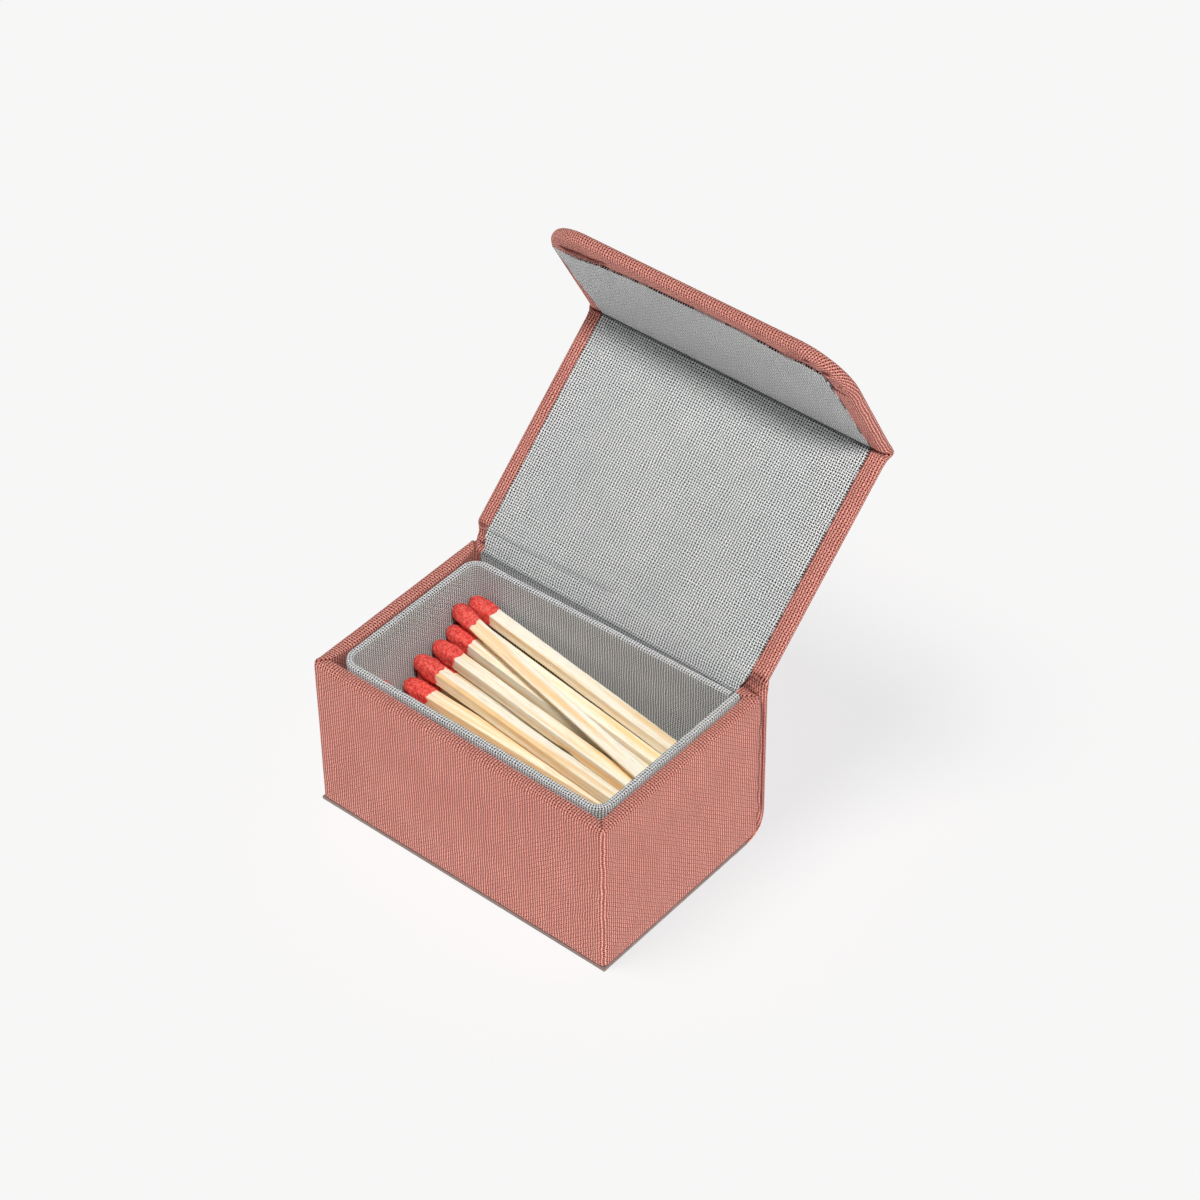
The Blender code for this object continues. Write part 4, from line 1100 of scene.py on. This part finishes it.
# Where the points of the flat turned-in cloth lie, as shares of its width.
TURNED_SHARES = (0.06, 0.14, 0.22, 0.31, 0.40, 0.49, 0.58, 0.67, 0.76, 0.85, 0.92, 0.97)
# The flap's lining is cut by hand and lies askew: the line of its top edge across the flap, and of its
# two sides up it, in the flap's own width and length.
LINING_TOP = (
    (-0.0302, 0.0209), (-0.0253, 0.0202), (-0.0225, 0.0212), (-0.0200, 0.0222), (-0.0095, 0.0236),
    (0.0, 0.0239), (0.0100, 0.0242), (0.0150, 0.0237), (0.0190, 0.0229), (0.0225, 0.0236), (0.0258, 0.0228),
)
LINING_LEFT = ((-0.02807, 0.0), (-0.0302, 0.0209))
LINING_RIGHT = ((0.02807, 0.0), (0.0272, 0.0070), (0.0270, 0.0145), (0.0264, 0.0190), (0.0258, 0.0228))
# Pleats where the turned-in cloth is gathered round the flap's two free corners and gapes beside the
# lining: from and to, along the rounded end from the left corner's start and in from the edge, then how
# wide and how deep, all in mm.
PLEATS = (
    ((4.6, 3.4), (8.6, 5.8), 0.40, 0.30), ((8.6, 5.8), (13.0, 6.8), 0.45, 0.34),
    ((13.0, 6.6), (18.6, 5.3), 0.36, 0.30), ((6.0, 1.2), (7.4, 3.6), 0.30, 0.16),
    ((9.4, 1.4), (10.6, 4.2), 0.32, 0.18), ((12.6, 1.6), (13.4, 4.6), 0.30, 0.16),
    ((56.0, 4.3), (61.2, 1.3), 0.26, 0.34), ((65.4, 3.0), (67.0, 1.4), 0.24, 0.34),
    ((62.4, 1.2), (62.8, 3.2), 0.30, 0.14), ((69.0, 1.2), (70.4, 2.8), 0.28, 0.18),
    ((72.4, 1.4), (73.2, 2.8), 0.26, 0.16),
)
# Where the gathered cloth gapes, shade is painted into it: places across the flap and from the fold, then
# the painted shade's width, in mm.
GAP_SHADES = (
    ([(20.2, 25.3), (22.4, 25.9), (24.0, 26.3)], 0.45),
    ([(26.3, 24.7), (27.7, 25.1)], 0.40),
    ([(-27.5, 23.2), (-24.1, 23.7), (-21.2, 23.9), (-17.8, 24.9)], 0.50),
)


def lid_side(along, up):
    """A point of the open lid's side view, from its axis."""
    c, s = math.cos(LID_ANGLE), math.sin(LID_ANGLE)
    return Vector((LID_AXIS.x + along * c - up * s, LID_AXIS.y + along * s + up * c))


LID_WAY, FLAP_WAY = (Vector((math.cos(angle), math.sin(angle))) for angle in (LID_ANGLE, FLAP_ANGLE))
LID_OUT, FLAP_OUT = (Vector((way.y, -way.x)) for way in (LID_WAY, FLAP_WAY))
FOLD = lid_side(LID_FOLD, LID_INNER)
HALF_FOLD = (FLAP_ANGLE - LID_ANGLE) / 2
FOLD_CORNER = FOLD + LID_WAY * (COVER * math.tan(HALF_FOLD)) + LID_OUT * COVER
# The crease of the turned-in cloth at the hinge, across the lid and up it.
HINGE_FOLD = ((0.0276, 0.00045), (0.0294, 0.00060), (0.0311, 0.00080))
# Where shade is painted into the cover's cloth at each side, along its creases: in that crease, behind the
# lid's corner and down the panel's edge. Then each painted crease's width, and how dark it is.
SIDE_CREASE_SHADES = (
    ([(x, *lid_side(along, LID_INNER)) for x, along in HINGE_FOLD], 0.00030, 0.85),
    ([(0.02712, 0.02066, 0.03130), (0.02856, 0.02039, 0.03104), (0.0301, 0.02016, 0.0305)], 0.00034, 0.95),
    (
        [
            (0.03040, 0.02017, 0.0301), (0.03071, 0.02033, 0.0290), (0.03085, 0.02047, 0.0270),
            (0.03091, 0.02059, 0.0213), (0.03092, 0.02061, 0.0050),
        ],
        0.00022,
        0.9,
    ),
)


def between(line, value, given=0):
    """The other coordinate of a line of points where one of them has a value."""
    return float(np.interp(value, [point[given] for point in line], [point[1 - given] for point in line]))


def shown_margin(x, along, normal):
    """How much turned-in cloth shows between the flap's edge and the lining, measured in from the edge."""
    for step in range(50, 470):
        inset = step * 0.00002
        across, up = x - normal[0] * inset, along - normal[1] * inset
        left, right = between(LINING_LEFT, up, 1), between(LINING_RIGHT, up, 1)
        if up <= between(LINING_TOP, across) and left < across < right:
            return inset
    return MOST_MARGIN


def wrapped_edge(shown, tuck, thickness, gap=0.00012, sink=0.00008):
    """Cloth round a board's edge, from the outer face to its end under the lining: how far in from the
    edge each point is, how far out from the inner face, and how far along the cloth."""
    radius = min(EDGE_ROUND, 0.46 * thickness)
    line = [(inset, thickness) for inset in (FLAP_CORNER, 0.0078, 0.0060, 0.0042, 0.0026, 0.0014)]
    line += bend((radius, thickness - radius), radius, 90, 180, 5)
    line += bend((radius, radius), radius, 180, 270, 5)
    end = max(shown - gap, radius + 0.0002)
    flat = end - 0.0001 - radius
    line += [(radius + flat * share, sink * share**2 - 0.00003) for share in TURNED_SHARES]
    line += [(end + 0.00002, tuck * 0.5 + sink * 0.5), (end + 0.00008, tuck), (end + 0.0006, tuck)]
    line = np.array(line)
    return line[:, 0], line[:, 1], path_length(line)


def cover_grid(stations, start):
    """A grid of the cover's cloth across its whole width. A station is a point of the side view on the
    inner face, its opposite point on the outer face, and how much turned-in cloth shows at each side."""
    grid = []
    rise = start + path_length([station[1] for station in stations])
    middle = np.linspace(INNER_X, -INNER_X, MIDDLE_COLUMNS)[1:-1]
    for (inner, outer, right, left, tuck), v in zip(stations, rise):
        thickness = (outer - inner).length
        halves = {}
        for sign, shown in ((1, right), (-1, left)):
            halves[sign] = []
            for inset, out, along in zip(*wrapped_edge(shown, tuck, thickness)):
                spot = inner + (outer - inner) * (out / thickness)
                halves[sign].append((sign * (HALF_WIDTH - inset), *spot, sign * (INNER_X + along), v))
        grid.append(halves[1][::-1] + [(x, *outer, x, v) for x in middle] + halves[-1])
    return np.array(grid), rise[-1]


def lid_station(along, margin=MARGIN, dip=0.0):
    """A station of the lid, its inner face sunk by a dip."""
    return (lid_side(along, LID_INNER - dip), lid_side(along, LID_INNER - COVER), margin, margin, TUCK)


def in_fold(origin, share, arm, depth):
    """A point of the cloth across the inside of the fold, pushed out into its corner."""
    spot = origin - LID_WAY * (arm * (1 - share) ** 2) + FLAP_WAY * (arm * share**2)
    return spot + (FOLD_CORNER - FOLD).normalized() * (depth * swell(share - 0.5, 0.16))


def pleated(spot):
    """How far the pleats press the turned-in cloth in, or lift it beside them, at a place in mm."""
    depth = 0.0
    for first, last, width, deep in PLEATS:
        first, last = Vector(first), Vector(last)
        run = last - first
        share = held((spot - first).dot(run) / run.length_squared)
        outer = (spot.x - first.x) * run.y > (spot.y - first.y) * run.x
        off = (spot - first.lerp(last, share)).length
        taper = min(1.0, 4.0 * share * (1 - share) + 0.25)
        depth += deep * taper * swell(off, width)
        depth -= 1.4 * deep * taper * swell(off - 2.0 * width, width) * outer
    return depth * MM


def flap_place(x, along, out):
    """A point of the flap from its width, its length from the fold, and how far out from its inner face."""
    return (x, *(FOLD + FLAP_WAY * along + FLAP_OUT * out))


stations = []
centre = Vector(BACK_ARC)
for angle in np.linspace(-90, 0, 13):
    way = Vector((math.cos(math.radians(angle)), math.sin(math.radians(angle))))
    reach = BACK_INSIDE if angle < -44 else min(BACK_INSIDE, (PANEL_INSIDE - centre.x) / way.x)
    stations.append((centre + way * reach, centre + way * BACK_RADIUS, PANEL_MARGIN, PANEL_MARGIN, 0.0))
for height in np.linspace(0.0060, 0.0304, 20):
    margin = PANEL_MARGIN + 0.0023 * max(0.0, (height - 0.0280) / 0.0024)
    stations.append((Vector((PANEL_INSIDE, height)), Vector((PANEL_OUTSIDE, height)), margin, margin, 0.0))
stations += [(Vector(inner), Vector(outer), HINGE_MARGIN, HINGE_MARGIN, 0.0001) for inner, outer in HINGE_BEND]
for along in (0.0007, 0.0010, 0.0014, 0.0020, 0.0030, *np.linspace(0.0042, LID_MIDDLE, 13)):
    margin = MARGIN + 0.0009 * max(0.0, 1.0 - (along - 0.0007) / 0.0030)
    stations.append(lid_station(along, margin, 0.00030 * swell(along - 0.0006, 0.0003)))
grid, start = cover_grid(stations, 0.0)
lower_cover = cloth_from_grids("cover_book_cloth_lower", [grid], PINK_CLOTH)
# Painted shade along the side creases, at both sides of the cover.
for line, width, darkness in SIDE_CREASE_SHADES:
    for side in (-1, 1):
        paint_crease_shade(lower_cover, [(side * x, y, z) for x, y, z in line], width, darkness)
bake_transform(lower_cover)
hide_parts("rear_panel_cloth", "lid_hinge_cloth", "lid_cloth")

stations = [lid_station(along) for along in np.linspace(LID_MIDDLE, LID_FOLD - 0.0006, 17)]
centre = FOLD_CORNER - LID_WAY * (FOLD_ROUND * math.tan(HALF_FOLD)) - LID_OUT * FOLD_ROUND
first, last = (math.degrees(math.atan2(out.y, out.x)) for out in (LID_OUT, FLAP_OUT))
outside = [FOLD + LID_OUT * COVER + LID_WAY * along for along in (-0.0002, 0.0005)]
outside += [Vector(point) for point in bend(centre, FOLD_ROUND, first, last, 6)]
outside += [FOLD + FLAP_OUT * COVER + FLAP_WAY * along for along in (-0.0004, 0.0002)]
for index, outer in enumerate(outside):
    inner = in_fold(FOLD, index / (len(outside) - 1), 0.00040, 0.0011)
    stations.append((inner, outer, MARGIN, MARGIN, TUCK))
far = FLAP_LENGTH - FLAP_CORNER
for along in np.linspace(0.0007, far, 17):
    right, left = (shown_margin(side * HALF_WIDTH, along, (side, 0)) for side in (1, -1))
    foot = FOLD + FLAP_WAY * along
    stations.append((foot, foot + FLAP_OUT * COVER, right, left, TUCK))
grid, end = cover_grid(stations, start)
for known in grid.reshape(-1, 5):
    near_fold = swell((Vector(known[1:3]) - FOLD - (FOLD_CORNER - FOLD) * 0.4).length, FOLD_REACH)
    at_edge = max(0.0, (abs(known[0]) - HALF_WIDTH + 0.0012) / 0.0012)
    known[0] += math.copysign(FOLD_BULGE * near_fold * at_edge, known[0])

around = [(-INNER_X, angle) for angle in np.linspace(180, 90, CORNER_COLUMNS)]
around += [(x, 90.0) for x in np.linspace(-INNER_X, INNER_X, MIDDLE_COLUMNS)[1:-1]]
around += [(INNER_X, angle) for angle in np.linspace(90, 0, CORNER_COLUMNS)]
flap_grid, round_end, last_edge = [], 0.0, None
for x, angle in around:
    normal = (math.cos(math.radians(angle)), math.sin(math.radians(angle)))
    edge = Vector((x + normal[0] * FLAP_CORNER, far + normal[1] * FLAP_CORNER))
    round_end += (edge - last_edge).length if last_edge else 0.0
    last_edge = edge
    shown = shown_margin(*edge, normal)
    row = []
    for inset, out, length in zip(*wrapped_edge(shown, 0.00052, COVER, 0.00022, 0.00036)):
        if out < 0.0006 and inset > 0.0003:
            out += pleated(Vector((round_end, inset)) * TO_MM) * min(1.0, (inset - 0.0003) / 0.0006)
        left = FLAP_CORNER - inset
        place = flap_place(x + normal[0] * left, far + normal[1] * left, out)
        row.append((*place, x + normal[0] * length, end + normal[1] * length))
    flap_grid.append(row)
upper_cover = cloth_from_grids("cover_book_cloth_upper", [grid, np.array(flap_grid)], PINK_CLOTH)
# Painted shade in the gaps where the gathered cloth gapes.
for spots, width in GAP_SHADES:
    paint_crease_shade(upper_cover, [flap_place(MM * x, MM * s, 0.0) for x, s in spots], MM * width, 1.0)
# Painted shade along the fold, in the turned-in cloth at each end.
for side in (-1, 1):
    paint_crease_shade(upper_cover, [(side * x, *FOLD) for x in (0.0278, 0.0316)], 0.00022, 0.9)
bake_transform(upper_cover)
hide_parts("fold_cloth", "flap_cloth", "lid_cloth")


# ----------------------------------------
# Lining. The grey cloth is glued inside the cover over the turned-in pink: a tab behind the liner, the
# hinge, the lid, the fold and the flap, where its hand-cut edge is a little frayed.

LINING_HALF = 0.02807
LINING_CLOTH = 0.00033
LINING_COLUMNS = 48
LIFT = 0.00005
FOLD_ARM = 0.00036
# The lining's way over the rim behind the liner, in mm.
OVER_RIM = (
    (17.41, 31.20), (17.46, 31.50), (17.58, 31.72), (17.80, 31.86), (18.05, 31.90), (18.28, 32.00),
    (18.45, 32.20), (18.58, 32.46), (18.74, 32.78),
)
# How far up the lid the lining's closer rows lie, where it is creased, and the line across it where shade
# is painted into the crease, in mm.
CLOSE_ROWS = (0.0005, 0.0008, 0.0012, 0.0018, 0.0024, 0.0029, 0.0033, 0.0036, 0.0038, 0.0040, 0.0043, 0.0047)
HINGE_CREASE_SHADE = ((-27.2, 0.38), (-20.9, 0.30), (-16.6, 0.45), (-12.3, 0.60), (-7.8, 0.83), (-2.0, 1.0))


def lining_grid(line, start, ends):
    """A grid of the lining from a line of its side view, and how far it reaches to each side."""
    rise = start + path_length(line)
    grid = []
    for spot, v, end in zip(line, rise, ends):
        grid.append([(x, *spot, x, v) for x in np.linspace(-end, end, LINING_COLUMNS)])
    return np.array(grid), rise[-1]


tab = 0.01740
near = lid_side(0.00055, LID_INNER)
line = [Vector((tab, height)) for height in np.linspace(0.0220, 0.0308, 7)]
line += [Vector((MM * y, MM * z)) for y, z in OVER_RIM]
over = line[-1]
for share in (0.10, 0.22, 0.35, 0.5, 0.64, 0.78, 0.9, 1.0):
    line.append(over.lerp(near, share) - LID_OUT * 0.00014 * math.sin(math.pi * share))
for along in (*CLOSE_ROWS, *np.linspace(0.0053, LID_MIDDLE, 14)):
    line.append(lid_side(along, LID_INNER + LIFT * min(1.0, along / 0.002)))
ends = [LINING_HALF - held((0.0345 - point.y) / 0.0022) * 0.0009 for point in line]
grid, start = lining_grid(line, 0.0, ends)
for row, point in zip(grid, line):
    along = (point - LID_AXIS).dot(LID_WAY)
    for known in row:
        crease = 0.00016 * swell(along - 0.0038, 0.00028) * (0.75 - 0.25 * known[0] / LINING_HALF)
        fading = 0.6 - 0.4 * known[0] / LINING_HALF
        crease -= fading * 0.00010 * swell(along - 0.0006, 0.00050)
        crease += fading * 0.00008 * swell(along - 0.0015, 0.00050)
        ripple = 0.00005 * noise.noise(Vector(known[:3]) * 70.0) if along > -0.002 else 0.0
        known[1:3] += LID_OUT * (crease + ripple)
lower_lining = cloth_from_grids("lining_book_cloth_lower", [grid], GREY_CLOTH, LINING_CLOTH)
# Painted shade along the crease across the hinge, and at the lining's two corners over the rim.
crease = [(MM * x, *lid_side(MM * along, LID_INNER)) for x, along in HINGE_CREASE_SHADE]
paint_crease_shade(lower_lining, crease, 0.00035, 0.35)
paint_crease_shade(lower_lining, [(side * LINING_HALF, 0.0177, 0.0317) for side in (-1, 1)], 0.0005, 0.7)
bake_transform(lower_lining)
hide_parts("lining_tab", "lid_hinge_lining", "lid_lining")

turned = FOLD - LID_OUT * LIFT - FLAP_OUT * LIFT
line = [lid_side(along, LID_INNER + LIFT) for along in np.linspace(LID_MIDDLE, LID_FOLD - 0.0004, 18)]
line += [in_fold(turned, share, FOLD_ARM, 0.00090) for share in (0.0, 0.25, 0.38, 0.5, 0.62, 0.75, 1.0)]
grid, start = lining_grid(line, start, [LINING_HALF] * len(line))
left, right = LINING_TOP[0][0], LINING_TOP[-1][0]
flap_grid = []
for share in (0.0, *np.linspace(0.0005, 1.0, 26)):
    row = []
    for column in range(LINING_COLUMNS):
        across = column / (LINING_COLUMNS - 1)
        top = left + (right - left) * across
        bottom = Vector((-LINING_HALF + 2 * LINING_HALF * across, 0.0))
        spot = bottom.lerp(Vector((top, between(LINING_TOP, top))), share)
        if across in (0, 1):
            spot.x = between(LINING_RIGHT if across else LINING_LEFT, spot.y, 1)
        along = spot.y + share**12 * 0.00009 * noise.noise(Vector((spot.x * 2600.0, 3.0, 0.0)))
        pucker = 0.00007 * noise.noise(Vector((*spot, 0.0)) * 170.0) * min(1.0, spot.y / 0.003)
        place = turned + FLAP_WAY * FOLD_ARM + FLAP_WAY * along - FLAP_OUT * pucker
        row.append((spot.x, *place, spot.x, start + along))
    flap_grid.append(row)
grids = [grid, np.array(flap_grid)]
upper_lining = cloth_from_grids("lining_book_cloth_upper", grids, GREY_CLOTH, LINING_CLOTH)
# Painted shade along the fold at each end of the lining.
paint_crease_shade(upper_lining, [(side * 0.0280, *turned) for side in (-1, 1)], 0.00022, 0.95)
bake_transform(upper_lining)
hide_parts("fold_lining", "flap_lining", "lid_lining")
